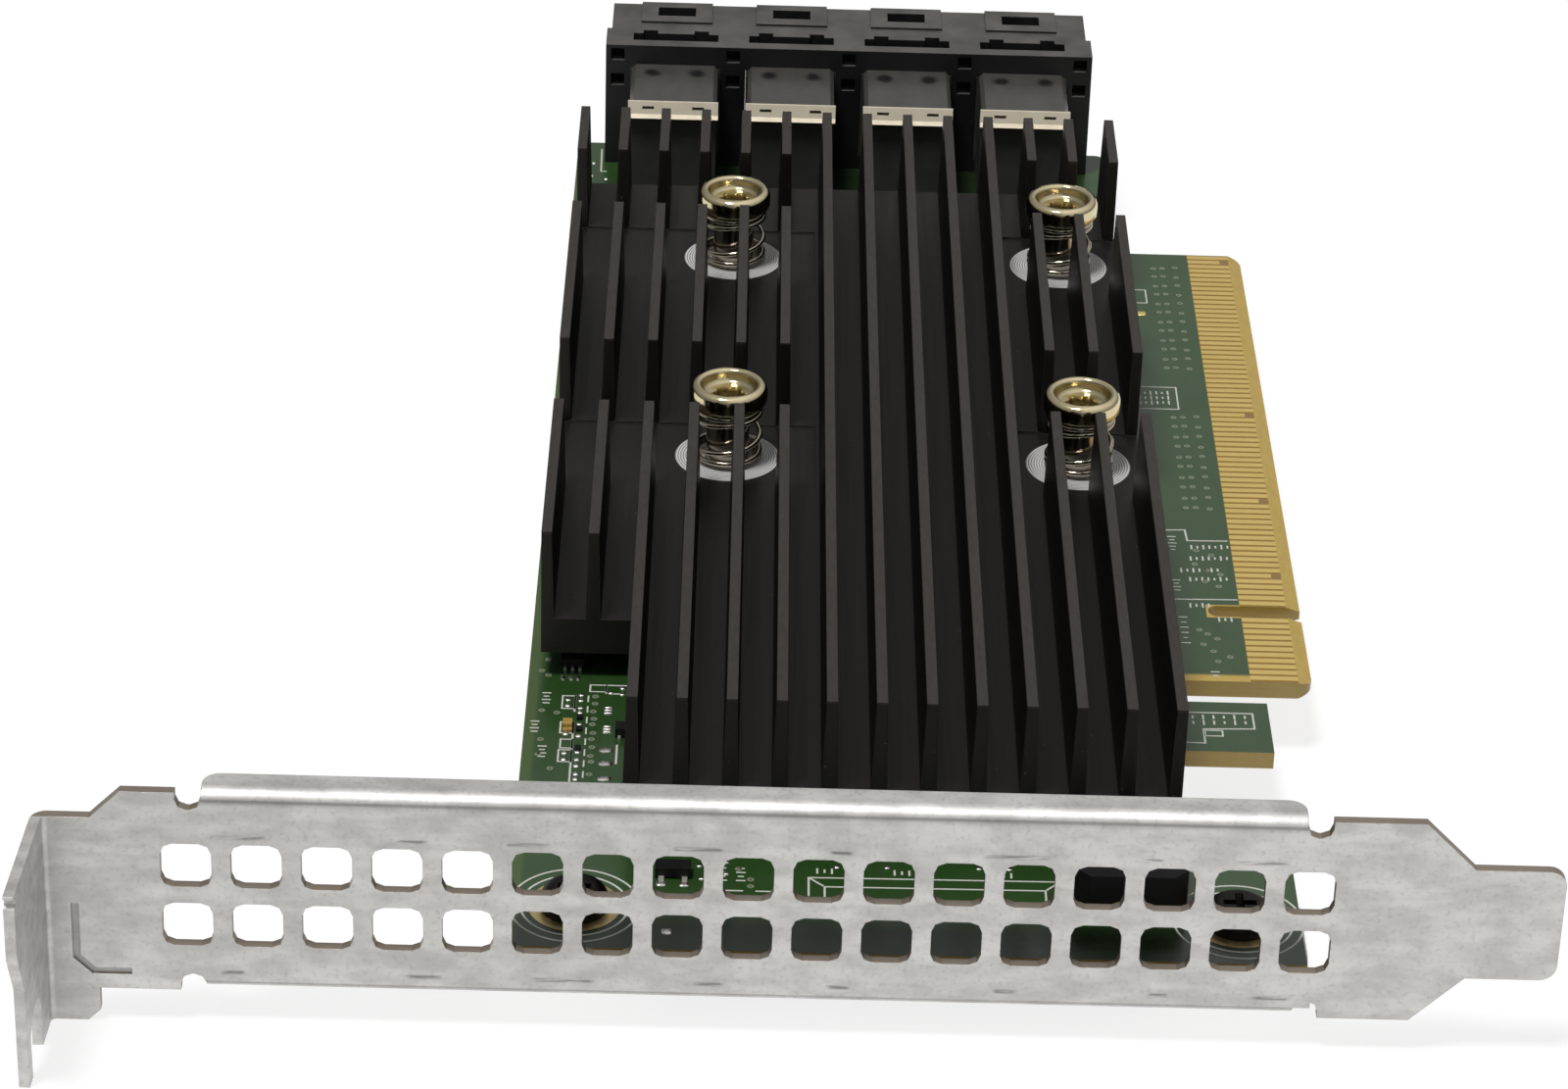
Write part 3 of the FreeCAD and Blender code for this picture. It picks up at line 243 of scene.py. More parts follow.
def board_bare(look):
    """Where the mask is left off: under the contacts, along the tab's front and round the key notch."""
    x, y, _ = look.axes
    contacts = look.both(look.step(x, -5.45, -5.35), look.step(y, -14.0, -13.0))
    front_rim = look.both(look.step(y, -10.8, -11.4), look.step(y, -12.8, -12.6))
    front_rim = look.both(look.step(x, -12.66, -12.64), front_rim)
    by_notch = look.both(look.step(look.away(y, 0.0), 1.2, 1.05), look.step(x, -8.5, -8.4))
    return look.either(look.either(contacts, front_rim), by_notch)


def board_look():
    """Green solder mask, bare glass fibre at the cut edges and round the contacts."""
    look = Look("board_mask", roughness=0.3, **{"Specular IOR Level": 0.85})
    x = look.axes[0]
    fibre = look.mix(look.noise(1.2, (1, 1, 0.2)), srgb(200, 166, 70), srgb(222, 190, 96))
    between_pads = look.both(look.step(x, -5.42, -5.38), look.step(x, -1.18, -1.3))
    fibre = look.mix(look.both(between_pads, 0.8), fibre, srgb(130, 92, 34))
    edge = look.mix(look.noise(0.8, (3, 3, 0.25)), srgb(200, 166, 74), srgb(228, 194, 98))
    face = look.mix(board_bare(look), board_mask(look), fibre)
    look.colour(look.mix(look.step(look.facing(2), 0.6, 0.4), face, edge))
    look.rough(look.noise(4.0), 0.24, 0.38)
    look.bump(look.noise(0.45, detail=2.0), 0.01, 0.35)
    return look.material


def gold_look():
    look = Look("contact_gold", metallic=0.75, roughness=0.3)
    rubbed = look.noise(0.6, (6, 1, 1))
    look.colour(look.mix(rubbed, srgb(244, 208, 116), srgb(254, 228, 148)))
    look.rough(rubbed, 0.26, 0.4)
    return look.material


def bracket_scuffs(look):
    """Rubbed dashes on the plate's front, along a line under either lip."""
    x, _, z = look.axes
    upper, lower = (look.step(look.away(z, line), 0.3, 0.0) for line in SCUFF_LINES)
    wander = look.both(look.noise(7.0, detail=1.0), SCUFF_PITCH)
    dashes = look.step(look.math("PINGPONG", look.math("ADD", x, wander), SCUFF_PITCH / 2), 1.7, 0.9)
    scuff = look.both(look.both(look.either(upper, lower), dashes), look.step(look.facing(1), 0.8, 0.9))
    scuff = look.both(scuff, look.step(look.away(x, FOLD_MIDDLE), FOLD_HALF + 1.0, FOLD_HALF - 1.0))
    return look.both(scuff, look.step(look.noise(0.5, (5, 1, 0.4)), 0.3, 0.6))


def bracket_cuts(look):
    """Raw steel on the sheet's cut edges, in the vents and round the plate's ends."""
    x, y, z = look.axes
    raw = look.both(look.step(look.facing(1), 0.6, 0.4), look.step(y, -57.17, -57.15))
    raw = look.both(raw, look.step(y, -56.25, -56.29))
    beside = look.step(look.away(x, FOLD_MIDDLE), FOLD_HALF - 0.1, FOLD_HALF)
    between = look.step(look.away(z, PLATE_MIDDLE), 7.9, 7.8)
    return look.both(raw, look.either(beside, between))


def bracket_look():
    """Zinc-plated sheet: cloudy spangle, scuffs, an embossed bead with painted shade in its groove, and raw
    cut edges.
    """
    look = Look("bracket_zinc", metallic=0.85, roughness=0.45)
    y = look.axes[1]
    spangle = look.noise(2.0, (1.6, 1, 0.8), detail=8.0)
    streak = look.noise(2.4, (5, 1, 0.45), detail=5.0)
    plating = look.mix(look.step(spangle, 0.3, 0.7), srgb(204, 202, 199), srgb(227, 226, 222))
    plating = look.mix(look.both(look.step(streak, 0.5, 0.75), 0.35), plating, srgb(228, 227, 223))
    speck = look.step(look.noise(0.45, detail=4.0), 0.5, 0.72)
    plating = look.mix(look.both(speck, 0.3), plating, srgb(166, 164, 160))
    plating = look.mix(look.both(bracket_scuffs(look), 0.75), plating, srgb(104, 100, 94))
    # Painted shade: the floor of the bead's groove is darkened.
    bead_groove_shade = look.both(look.step(y, -57.1, -57.05), look.step(y, -56.5, -56.6))
    bead_groove_shade = look.both(bead_groove_shade, look.step(look.facing(1), 0.8, 0.9))
    plating = look.mix(look.both(bead_groove_shade, 0.5), plating, srgb(140, 138, 135))
    look.colour(look.mix(look.both(bracket_cuts(look), 0.8), plating, srgb(140, 124, 104)))
    look.rough(streak, 0.46, 0.6)
    look.soften(0.12)
    look.bump(look.noise(0.5, detail=3.0), 0.006, 0.3)
    return look.material


def heatsink_look():
    """Black anodised aluminium with drawing lines along the fins and a little dust, paler fin tops as painted
    light from above, and painted shade on the fins' sides.
    """
    gloss = {"Specular IOR Level": 0.38, "Specular Tint": srgb(255, 248, 240)}
    look = Look("heatsink_anodised", roughness=0.42, **gloss)
    drawn = look.noise(0.35, (1, 60, 1), detail=4.0)
    cloud = look.noise(12.0)
    black = look.mix(drawn, srgb(20, 19, 17), srgb(26, 25, 22))
    black = look.mix(look.both(cloud, 0.3), black, srgb(27, 25, 23))
    # Painted light: the fin tops take a paler colour, as light from above makes them look.
    lit_fin_tops = look.step(look.axes[2], FIN_TOP - 0.3, FIN_TOP - 0.1)
    worn = look.mix(look.noise(0.3, (1, 4, 1), detail=2.0), srgb(40, 37, 34), srgb(66, 61, 57))
    black = look.mix(look.both(lit_fin_tops, 0.85), black, worn)
    # Painted shade: the fins' side faces are darkened, as the shade between fins makes them look.
    fin_side_shade = look.step(look.facing(0), 0.6, 0.9)
    black = look.mix(look.both(fin_side_shade, 0.8), black, srgb(6, 6, 5))
    dust = look.step(look.noise(0.4, detail=0.0), 0.84, 0.88)
    look.colour(look.mix(look.both(dust, 0.3), black, srgb(120, 116, 110)))
    look.rough(drawn, 0.4, 0.48)
    look.soften(0.08)
    look.bump(drawn, 0.012, 0.3)
    return look.material


def plated_look(name, dull, bright, low, high, metallic=1.0):
    """Bright plating on a turned or drawn metal piece."""
    look = Look(name, metallic=metallic, roughness=low)
    stain = look.noise(0.9, detail=4.0)
    look.colour(look.mix(stain, dull, bright))
    look.rough(stain, low, high)
    return look.material


def clip_look():
    """Bright sheet, shaded as if its front leant up to the light as the real clip's bend does."""
    look = Look("clip_sheet", metallic=0.15)
    stain = look.noise(0.9, detail=4.0)
    look.colour(look.mix(stain, srgb(238, 224, 196), srgb(249, 239, 217)))
    look.rough(stain, 0.3, 0.42)
    normal = look.make("ShaderNodeNewGeometry").outputs["Normal"]
    leant = look.make("ShaderNodeVectorMath", {0: normal, 1: (0, 0, CLIP_LEAN)}, operation="ADD").outputs[0]
    level = look.make("ShaderNodeVectorMath", {0: leant}, operation="NORMALIZE").outputs[0]
    look.tree.links.new(level, look.shader.inputs["Normal"])
    return look.material


def screw_look():
    """Pale plating with painted shade down in the bowl of the head, and greyer on the shank."""
    look = Look("screw_plated", metallic=1.0, roughness=0.2)
    x, y, z = look.axes
    depth = look.both(look.step(z, 11.6, 11.7), look.step(z, 14.0, 13.7))
    bowl = look.both(look.step(look.span(x, y), 2.6, 2.45), depth)
    stain = look.noise(0.9, detail=4.0)
    plating = look.mix(stain, srgb(202, 188, 148), srgb(224, 211, 174))
    plating = look.mix(look.step(z, 12.5, 12.2), plating, srgb(178, 170, 158))
    # Painted shade: the bowl of the head is darkened.
    look.colour(look.mix(look.both(bowl, 0.7), plating, srgb(182, 171, 136)))
    look.rough(stain, 0.1, 0.2)
    return look.material


def spot_look():
    """Bare aluminium with the rings that the cutter left; each spot's own centre is its origin."""
    look = Look("spot_turned", metallic=0.15, roughness=0.42)
    x, y, _ = look.axes
    ring_pitch = 0.24
    rings = look.math("SINE", look.both(look.span(x, y), 2 * math.pi / ring_pitch))
    tone = look.step(rings, -0.6, 0.8)
    look.colour(look.mix(tone, srgb(166, 164, 162), srgb(252, 250, 248)))
    look.rough(look.noise(1.0), 0.36, 0.5)
    look.bump(rings, 0.012, 0.5)
    return look.material


def moulded_look(name, dark, pale, roughness, grain=0.3, gloss=0.5, dust=None):
    """Moulded plastic or epoxy with a fine sparked grain. Where a dust colour is given, faces turned up or
    down are paler: partly dust, partly painted top light.
    """
    look = Look(name, roughness=roughness, **{"Specular IOR Level": gloss})
    cloud = look.noise(3.0, detail=4.0)
    body = look.mix(cloud, dark, pale)
    if dust:
        # Partly painted light: faces turned up or down take the paler colour, as tops lit from above look,
        # with some dust.
        body = look.mix(look.both(look.step(look.facing(2), 0.6, 0.9), cloud), body, dust)
    look.colour(body)
    look.rough(cloud, roughness - 0.06, roughness + 0.08)
    look.soften(0.1)
    look.bump(look.noise(grain, detail=2.0), 0.01, 0.4)
    return look.material


def leaded_look(name, low, high):
    """Black epoxy between two places along the card, and tinned leads beyond them."""
    look = Look(name, roughness=0.48, **{"Specular IOR Level": 0.25})
    y = look.axes[1]
    lead = look.either(look.step(y, low - 0.02, low - 0.04), look.step(y, high + 0.02, high + 0.04))
    cloud = look.noise(0.5)
    epoxy = look.mix(cloud, srgb(18, 18, 18), srgb(28, 28, 28))
    look.colour(look.mix(lead, epoxy, look.mix(cloud, srgb(190, 187, 180), srgb(232, 230, 225))))
    look.tree.links.new(look.both(lead, 0.7), look.shader.inputs["Metallic"])
    look.rough(cloud, 0.36, 0.5)
    return look.material


def module_look():
    """Smoky plastic with two dark marks on each module's top, towards the housing."""
    look = Look("module_smoke", roughness=0.32)
    x, y, _ = look.axes
    along = look.math("PINGPONG", look.math("SUBTRACT", x, PORTS[0]), PORT_PITCH / 2)
    off_x = look.math("SUBTRACT", along, 2.3)
    off_y = look.both(look.math("SUBTRACT", y, 88.6), 0.9)
    wobble = look.math("ADD", look.span(off_x, off_y), look.both(look.noise(1.3), 0.6))
    smoke = look.mix(look.noise(2.0, (1, 3, 1)), srgb(64, 63, 60), srgb(88, 87, 83))
    look.colour(look.mix(look.step(wobble, 1.5, 0.7), smoke, srgb(26, 26, 26)))
    look.rough(look.noise(1.5), 0.28, 0.4)
    look.soften(0.08)
    return look.material


def print_look():
    look = Look("board_print", roughness=0.55)
    worn = look.noise(0.35, detail=4.0)
    look.colour(look.mix(worn, srgb(206, 207, 196), srgb(240, 240, 232)))
    return look.material


def via_look():
    """Tented holes: mask over a copper ring, a little paler than the board."""
    look = Look("via_tented", roughness=0.3)
    look.colour(look.mix(look.noise(0.6), srgb(112, 124, 98), srgb(150, 158, 134)))
    return look.material


def trace_look():
    look = Look("board_trace", roughness=0.28)
    look.colour(look.mix(look.noise(3.0), srgb(38, 92, 52), srgb(56, 112, 64)))
    return look.material


def amber_look():
    look = Look("light_amber", roughness=0.22, **{"Transmission Weight": 0.15, "Coat Weight": 0.4})
    look.colour(look.mix(look.noise(0.4), srgb(190, 146, 58), srgb(226, 192, 110)))
    return look.material


def rubber_look():
    look = Look("thermal_grey", roughness=0.8)
    look.colour(look.mix(look.noise(1.0), srgb(128, 130, 134), srgb(152, 154, 157)))
    look.bump(look.noise(0.4), 0.02, 0.5)
    return look.material


class Shape:
    """Corners and faces of one piece, in millimetres, gathered before it becomes a mesh."""

    def __init__(self):
        self.points, self.faces = [], []

    def skin(self, rings, start=True, end=True):
        """Joins closed rings of equal length one after another, with a cap at either end."""
        first, count = len(self.points), len(rings[0])
        for ring in rings:
            self.points.extend(ring)
        for low in range(first, first + count * (len(rings) - 1), count):
            for i in range(count):
                j = (i + 1) % count
                self.faces.append((low + i, low + j, low + count + j, low + count + i))
        last = first + count * (len(rings) - 1)
        if start:
            self.faces.append(tuple(range(first + count - 1, first - 1, -1)))
        if end:
            self.faces.append(tuple(range(last, last + count)))


def circle(x, y, z, radius, steps):
    """A ring of points; the radius may be a function of the angle."""
    ring = []
    for i in range(steps):
        angle = 2 * math.pi * i / steps
        reach = radius(angle) if callable(radius) else radius
        ring.append((x + reach * math.cos(angle), y + reach * math.sin(angle), z))
    return ring


def turned(shape, x, y, profile, steps=48):
    shape.skin([circle(x, y, z, radius, steps) for radius, z in profile])


def star(radius, lobes=6, depth=0.13):
    return lambda angle: radius * (1 + depth * math.cos(lobes * angle))


def cross(reach, half):
    """Radius of a cross-shaped recess whose arms are twice half wide."""
    def radius(angle):
        c, s = abs(math.cos(angle)) + 1e-6, abs(math.sin(angle)) + 1e-6
        return max(min(reach / c, half / s), min(reach / s, half / c))
    return radius


def plate(shape, outline, low, high):
    shape.skin([[(x, y, low) for x, y in outline], [(x, y, high) for x, y in outline]])


def bar(shape, x0, y0, x1, y1, low, high):
    plate(shape, [(x0, y0), (x1, y0), (x1, y1), (x0, y1)], low, high)


def stroke(shape, path, width, low, high):
    """A line of one width along a path, with mitred corners."""
    left, right = [], []
    for i, (x, y) in enumerate(path):
        runs = [Vector(path[j + 1]) - Vector(path[j]) for j in (i - 1, i) if 0 <= j < len(path) - 1]
        sides = [Vector((-run.y, run.x)).normalized() for run in runs]
        middle = sum(sides, Vector((0, 0))).normalized()
        reach = middle * (width / 2 / max(middle.dot(sides[0]), 0.3))
        left.append((x + reach.x, y + reach.y))
        right.append((x - reach.x, y - reach.y))
    plate(shape, right + left[::-1], low, high)


def outline_box(shape, x0, y0, x1, y1, width, low, high):
    half = width / 2
    for y in (y0, y1):
        bar(shape, x0 - half, y - half, x1 + half, y + half, low, high)
    for x in (x0, x1):
        bar(shape, x - half, y0 + half, x + half, y1 - half, low, high)


def washer(shape, x, y, inner, outer, low, high, steps=48):
    rings = [(outer, low), (outer, high), (inner, high), (inner, low), (outer, low)]
    shape.skin([circle(x, y, z, r, steps) for r, z in rings], start=False, end=False)


def dome(shape, x, y, wide, long, low, high, steps=16):
    """A blob of solder, rounded in plan and crowned on top."""
    def ring(share, z):
        return [(x + wide / 2 * share * math.copysign(abs(math.cos(a)) ** 0.55, math.cos(a)),
                 y + long / 2 * share * math.copysign(abs(math.sin(a)) ** 0.55, math.sin(a)), z)
                for a in (2 * math.pi * i / steps for i in range(steps))]
    rise = high - low
    shape.skin([ring(1.0, low), ring(0.94, low + 0.45 * rise), ring(0.7, low + 0.85 * rise), ring(0.3, high)])


def block(shape, x, y, wide, long, low, high, bevel):
    def ring(inset, z):
        a, b = wide / 2 - inset, long / 2 - inset
        return [(x - a, y - b, z), (x + a, y - b, z), (x + a, y + b, z), (x - a, y + b, z)]
    shape.skin([ring(0, low), ring(0, high - bevel), ring(bevel, high)])


def piece(name, shape, look, smooth=True, at=(0, 0, 0), stands_for=()):
    """Turns a shape into a piece of the object that rides on its one body."""
    mesh = bpy.data.meshes.new(name)
    mesh.from_pydata([Vector(point) * MM for point in shape.points], [], shape.faces)
    work = bmesh.new()
    work.from_mesh(mesh)
    bmesh.ops.remove_doubles(work, verts=work.verts, dist=1e-8)
    bmesh.ops.recalc_face_normals(work, faces=work.faces)
    for face in work.faces:
        face.smooth = smooth
    work.to_mesh(mesh)
    work.free()
    if smooth:
        mesh.set_sharp_from_angle(angle=math.radians(SHARP_EDGE))
    mesh.materials.append(look)
    made = bpy.data.objects.new(name, mesh)
    bpy.context.scene.collection.objects.link(made)
    made.location = Vector(at) * MM
    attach(made, "root")
    if stands_for:
        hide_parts(*stands_for)


def spring_coils(look):
    """Round wire on a rising coil whose end turns are closed."""
    shape = Shape()
    turns = 2 * CLOSED_TURNS + FREE_TURNS
    free_pitch = (COIL_HIGH - COIL_LOW - 2 * CLOSED_PITCH * CLOSED_TURNS) / FREE_TURNS
    for x, y in SPRING_SCREWS:
        rings = []
        for i in range(WIRE_STEPS + 1):
            turn = turns * i / WIRE_STEPS
            free = min(max(turn - CLOSED_TURNS, 0.0), FREE_TURNS)
            height = COIL_LOW + free_pitch * free + CLOSED_PITCH * (turn - free)
            angle = 2 * math.pi * turn
            ring = []
            for k in range(WIRE_SIDES):
                round_wire = 2 * math.pi * k / WIRE_SIDES
                reach = COIL_RADIUS + WIRE / 2 * math.cos(round_wire)
                ring.append((x + reach * math.cos(angle), y + reach * math.sin(angle),
                             height + WIRE / 2 * math.sin(round_wire)))
            rings.append(ring[::-1])
        shape.skin(rings)
    piece("spring_coils", shape, look, stands_for=["heatsink_springs"])


def spring_screws(look):
    """Shouldered screws: rounded rim, deep bowl and a six-lobed recess."""
    profile = [
        (0.9, -1.985), (1.25, -1.65), (1.25, 0.785), (1.95, 0.785), (1.95, 12.3), (3.25, 12.3),
        (3.42, 12.36), (3.5, 12.52), (3.5, 13.3), (3.46, 13.6), (3.34, 13.88), (3.14, 14.05), (2.92, 14.1),
        (2.74, 14.09), (2.6, 14.02), (2.51, 13.88), (2.47, 13.65), (2.44, 13.3), (2.3, 13.08),
        (2.0, 12.95), (star(1.5), 12.9), (star(1.42), 12.7), (star(1.36), 12.0), (0.6, 11.9),
    ]
    for number, (x, y) in enumerate(SPRING_SCREWS, 1):
        shape = Shape()
        turned(shape, 0, 0, profile, 72)
        piece("spring_screw_%d" % number, shape, look, at=(x, y, 0),
              stands_for=["heatsink_screws"])


def bracket_screws(look):
    """Pan heads with a cross recess."""
    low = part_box("bracket_screws")[0].z / MM
    profile = [
        (1.1, low), (1.4, low + 0.3), (1.4, BOARD_TOP), (2.68, BOARD_TOP), (2.75, 0.86), (2.75, 1.5),
        (2.66, 1.95), (2.42, 2.32), (2.05, 2.56), (1.7, 2.685),
        (cross(1.35, 0.34), 2.685), (cross(0.8, 0.2), 1.7),
    ]
    shape = Shape()
    for x, y in BRACKET_SCREWS:
        turned(shape, x, y, profile, 96)
    piece("board_fixing_screws", shape, look, stands_for=["bracket_screws"])


def fin_flanks(look):
    """The fins' draft: a thin wedge down either side of each fin, left off the solids."""
    shape = Shape()
    first, last = SINK_LOW.x + FIN_THICK / 2, SINK_HIGH.x - FIN_THICK / 2
    cuts = sorted({y for _, y in SPRING_SCREWS})
    for number in range(FIN_COUNT):
        middle = first + (last - first) * number / (FIN_COUNT - 1)
        front = SHORT_FRONT if number < SHORT_FINS else SINK_LOW.y
        ends = [front, SINK_HIGH.y]
        if not WHOLE_FINS[0] <= number <= WHOLE_FINS[1]:
            ends = sorted(ends + [y + side for y in cuts for side in (-CUT_LONG / 2, CUT_LONG / 2)])
        for start, end in zip(ends[::2], ends[1::2]):
            for side in (-1, 1):
                if (number, side) in ((0, -1), (FIN_COUNT - 1, 1)):
                    continue
                flat = middle + side * FIN_THICK / 2
                foot = flat + side * FIN_DRAFT
                wedge = [(flat, FIN_BASE), (foot, FIN_BASE), (flat, FIN_TOP - 0.05)]
                shape.skin([[(x, y, z) for x, z in wedge] for y in (start, end)])
    piece("fin_flanks", shape, look, smooth=False)


def spot_faces(look):
    for number, (x, y) in enumerate(SPRING_SCREWS, 1):
        shape = Shape()
        washer(shape, 0, 0, SPOT_BORE, SPOT_RADIUS, 0.0, SPOT_HIGH, 72)
        piece("spot_face_%d" % number, shape, look, at=(x, y, SINK_FLOOR))


# Round each bracket screw: the plated land's radii, and the radii and half width of the printed circles.
LAND_INNER, LAND_OUTER = 2.8, 3.75
CIRCLES, CIRCLE_HALF = (4.35, 5.25), 0.09


def land_rings(plated, white):
    """Plated lands under the bracket screws, each with two printed circles."""
    lands, circles = Shape(), Shape()
    top = BOARD_TOP + PRINT_HIGH
    for x, y in BRACKET_SCREWS:
        washer(lands, x, y, LAND_INNER, LAND_OUTER, BOARD_TOP, top, 64)
        for radius in CIRCLES:
            washer(circles, x, y, radius - CIRCLE_HALF, radius + CIRCLE_HALF, BOARD_TOP, top, 64)
    piece("screw_lands", lands, plated, smooth=False)
    piece("screw_circles", circles, white, smooth=False)


# Printed lines on the board's upper face. The lettering of the real one is left off.
PATH_WIDE, BOX_WIDE = 0.17, 0.15
PRINT_PATHS = [
    [(-12.6, 14.5), (-9.4, 14.7), (-9.3, 12.7), (-5.6, 12.8)],
    [(-12.6, 1.9), (-5.5, 2.1)],
    [(-12.4, -17.5), (-5.7, -17.5), (-5.7, -20.0), (-10.1, -20.2), (-10.1, -22.5), (-12.4, -22.4)],
    [(-63.9, -17.3), (-63.9, -20.0)],
    [(-63.9, -21.6), (-63.9, -31.5)],
    [(-61.3, -15.5), (-58.6, -15.5)],
    [(-61.3, -15.5), (-61.3, -16.9)],
    [(-60.9, -16.9), (-60.1, -16.9)],
    [(-60.1, -25.2), (-60.1, -28.3)],
    [(-42.6, -49.5), (-42.6, -46.2), (-24.7, -46.0), (-24.7, -49.5)],
    [(-43.9, -47.6), (-43.9, -44.9), (-23.8, -44.65), (-23.8, -45.0), (-24.6, -45.9)],
    [(-43.8, -45.0), (-42.7, -46.1)],
    [(-50.7, -47.1), (-49.2, -47.1)],
    [(-48.2, -47.1), (-46.8, -47.1)],
    [(-65.6, 93.9), (-65.5, 88.4), (-64.9, 88.4)],
]
PRINT_BOXES = [
    (-10.0, -21.3, -8.5, -20.4), (-12.6, 38.4, -8.4, 42.9), (-11.4, 61.0, -10.1, 63.9),
    (-65.0, -19.5, -63.9, -17.4), (-65.0, -23.5, -63.9, -21.7), (-64.9, -25.9, -63.9, -24.5),
    (-65.0, -28.1, -63.9, -26.2), (-62.7, -16.6, -61.3, -15.5),
]
# A dashed line: where it runs, from where and to where, and the width, length and pitch of its dashes.
DASH_X, DASH_FIRST, DASH_LAST = -62.8, -30.6, -16.9
DASH_HALF, DASH_LONG, DASH_PITCH = 0.07, 1.05, 1.75
# Rows of ticks in place of small print: first tick, step to the next, how many.
TICK_WIDE, TICK_LENGTHS = 0.17, (0.78, 0.5, 0.78, 0.62, 0.4)
TICK_ROWS = [
    ((-9.0, 11.5), (0.55, 0.03), 7), ((-9.2, 9.4), (0.55, 0.03), 7), ((-10.2, 7.2), (0.55, 0.03), 7),
    ((-9.5, 5.6), (0.55, 0.03), 7), ((-9.8, 0.9), (0.55, 0.03), 4), ((-7.4, -1.5), (0.55, 0.03), 3),
    ((-10.7, 13.4), (0.0, -0.6), 5), ((-10.8, 5.4), (0.0, -0.6), 4), ((-10.6, -1.2), (0.0, -0.9), 6),
    ((-8.4, -10.6), (0.0, -0.6), 2), ((-12.0, 41.6), (0.55, 0.03), 6), ((-12.0, 40.6), (0.55, 0.03), 6),
    ((-12.0, 39.6), (0.55, 0.03), 6), ((-11.8, -18.3), (0.9, 0.03), 7), ((-11.8, -19.2), (0.9, 0.03), 7),
    ((-66.4, -17.0), (0.0, -0.55), 4), ((-67.2, -21.7), (0.0, -0.55), 4), ((-66.4, -25.7), (0.0, -0.55), 4),
    ((-50.9, -45.6), (0.0, 0.6), 4), ((-49.4, -45.6), (0.0, 0.6), 4), ((-43.2, -43.9), (0.6, 0.0), 3),
    ((-36.9, -43.9), (0.6, 0.0), 3), ((-28.6, -43.9), (0.6, 0.0), 3), ((-18.6, -51.4), (0.6, 0.0), 3),
]


def board_print(look):
    shape = Shape()
    top = BOARD_TOP + PRINT_HIGH
    for path in PRINT_PATHS:
        stroke(shape, path, PATH_WIDE, BOARD_TOP, top)
    for corners in PRINT_BOXES:
        outline_box(shape, *corners, BOX_WIDE, BOARD_TOP, top)
    y = DASH_FIRST
    while y < DASH_LAST - 1.0:
        bar(shape, DASH_X - DASH_HALF, y, DASH_X + DASH_HALF, y + DASH_LONG, BOARD_TOP, top)
        y += DASH_PITCH
    for (x, y), (across, along), count in TICK_ROWS:
        for number in range(count):
            middle_x, middle_y = x + across * number, y + along * number
            long = TICK_LENGTHS[number % len(TICK_LENGTHS)]
            wide, tall = (long, TICK_WIDE) if abs(along) > abs(across) else (TICK_WIDE, long)
            bar(shape, middle_x - wide / 2, middle_y - tall / 2, middle_x + wide / 2, middle_y + tall / 2,
                BOARD_TOP, top)
    piece("printed_lines", shape, look, smooth=False)


# Solder pads: height and places. Their sizes stand with the groups.
PAD_HIGH = 0.1
PAD_COLUMN_X = -63.4
PAD_COLUMN = (-17.2, -18.1, -19.3, -20.1, -22.0, -23.9, -25.6, -26.5, -27.7, -28.7, -30.0, -30.8)
LIGHT_PADS = [(-64.5, y) for y in (-18.0, -19.0, -23.6, -26.7, -27.7)]
STRIPE_PADS = [(-61.0, y - 0.45 * k) for y in (-19.2, -22.3) for k in range(3)]
LARGE_PADS = [(-61.0, -26.1), (-61.0, -28.2), (-61.0, -30.6)]
SMALL_PADS = [
    (-60.9, -16.7), (-59.9, -15.9), (-59.9, -16.9), (-41.6, -43.2), (-37.5, -43.1), (-30.0, -42.9),
    (-27.5, -42.9), (-51.6, -42.6), (-51.6, -43.4), (-51.6, -44.4), (-50.6, -42.9), (-50.6, -44.6),
    (-52.8, -43.5), (-52.6, -45.4), (-66.4, 87.3), (-64.9, 86.6), (-66.3, 90.4),
]
LEAD_PADS = [(-55.85, -46.25), (-54.0, -46.25), (-54.9, -43.55), (-55.24, -53.2)]
SENSOR_PADS = [(x, -14.4) for x in (-65.1, -64.4, -63.8)]


def solder_pads(look):
    shape = Shape()
    column = [(PAD_COLUMN_X, y) for y in PAD_COLUMN]
    groups = [
        (column, 0.55, 0.5), (LIGHT_PADS, 0.55, 0.5), (STRIPE_PADS, 0.85, 0.26), (LARGE_PADS, 1.2, 0.75),
        (SMALL_PADS, 0.5, 0.5), (SENSOR_PADS, 0.42, 0.75), (LEAD_PADS, 0.85, 0.9),
    ]
    for places, wide, long in groups:
        for x, y in places:
            dome(shape, x, y, wide, long, BOARD_TOP, BOARD_TOP + PAD_HIGH)
    piece("solder_pads", shape, look)


# Chip resistors: places, and width, length and height.
CHIP_RESISTORS = [(-63.4, -21.05), (-63.4, -22.95), (-63.4, -26.05)]
RESISTOR_WIDE, RESISTOR_LONG, RESISTOR_HIGH = 0.5, 0.55, 0.32


def chip_resistors(body_look):
    shape = Shape()
    for x, y in CHIP_RESISTORS:
        block(shape, x, y, RESISTOR_WIDE, RESISTOR_LONG, BOARD_TOP, BOARD_TOP + RESISTOR_HIGH, 0.05)
    piece("chip_resistors", shape, body_look, smooth=False)


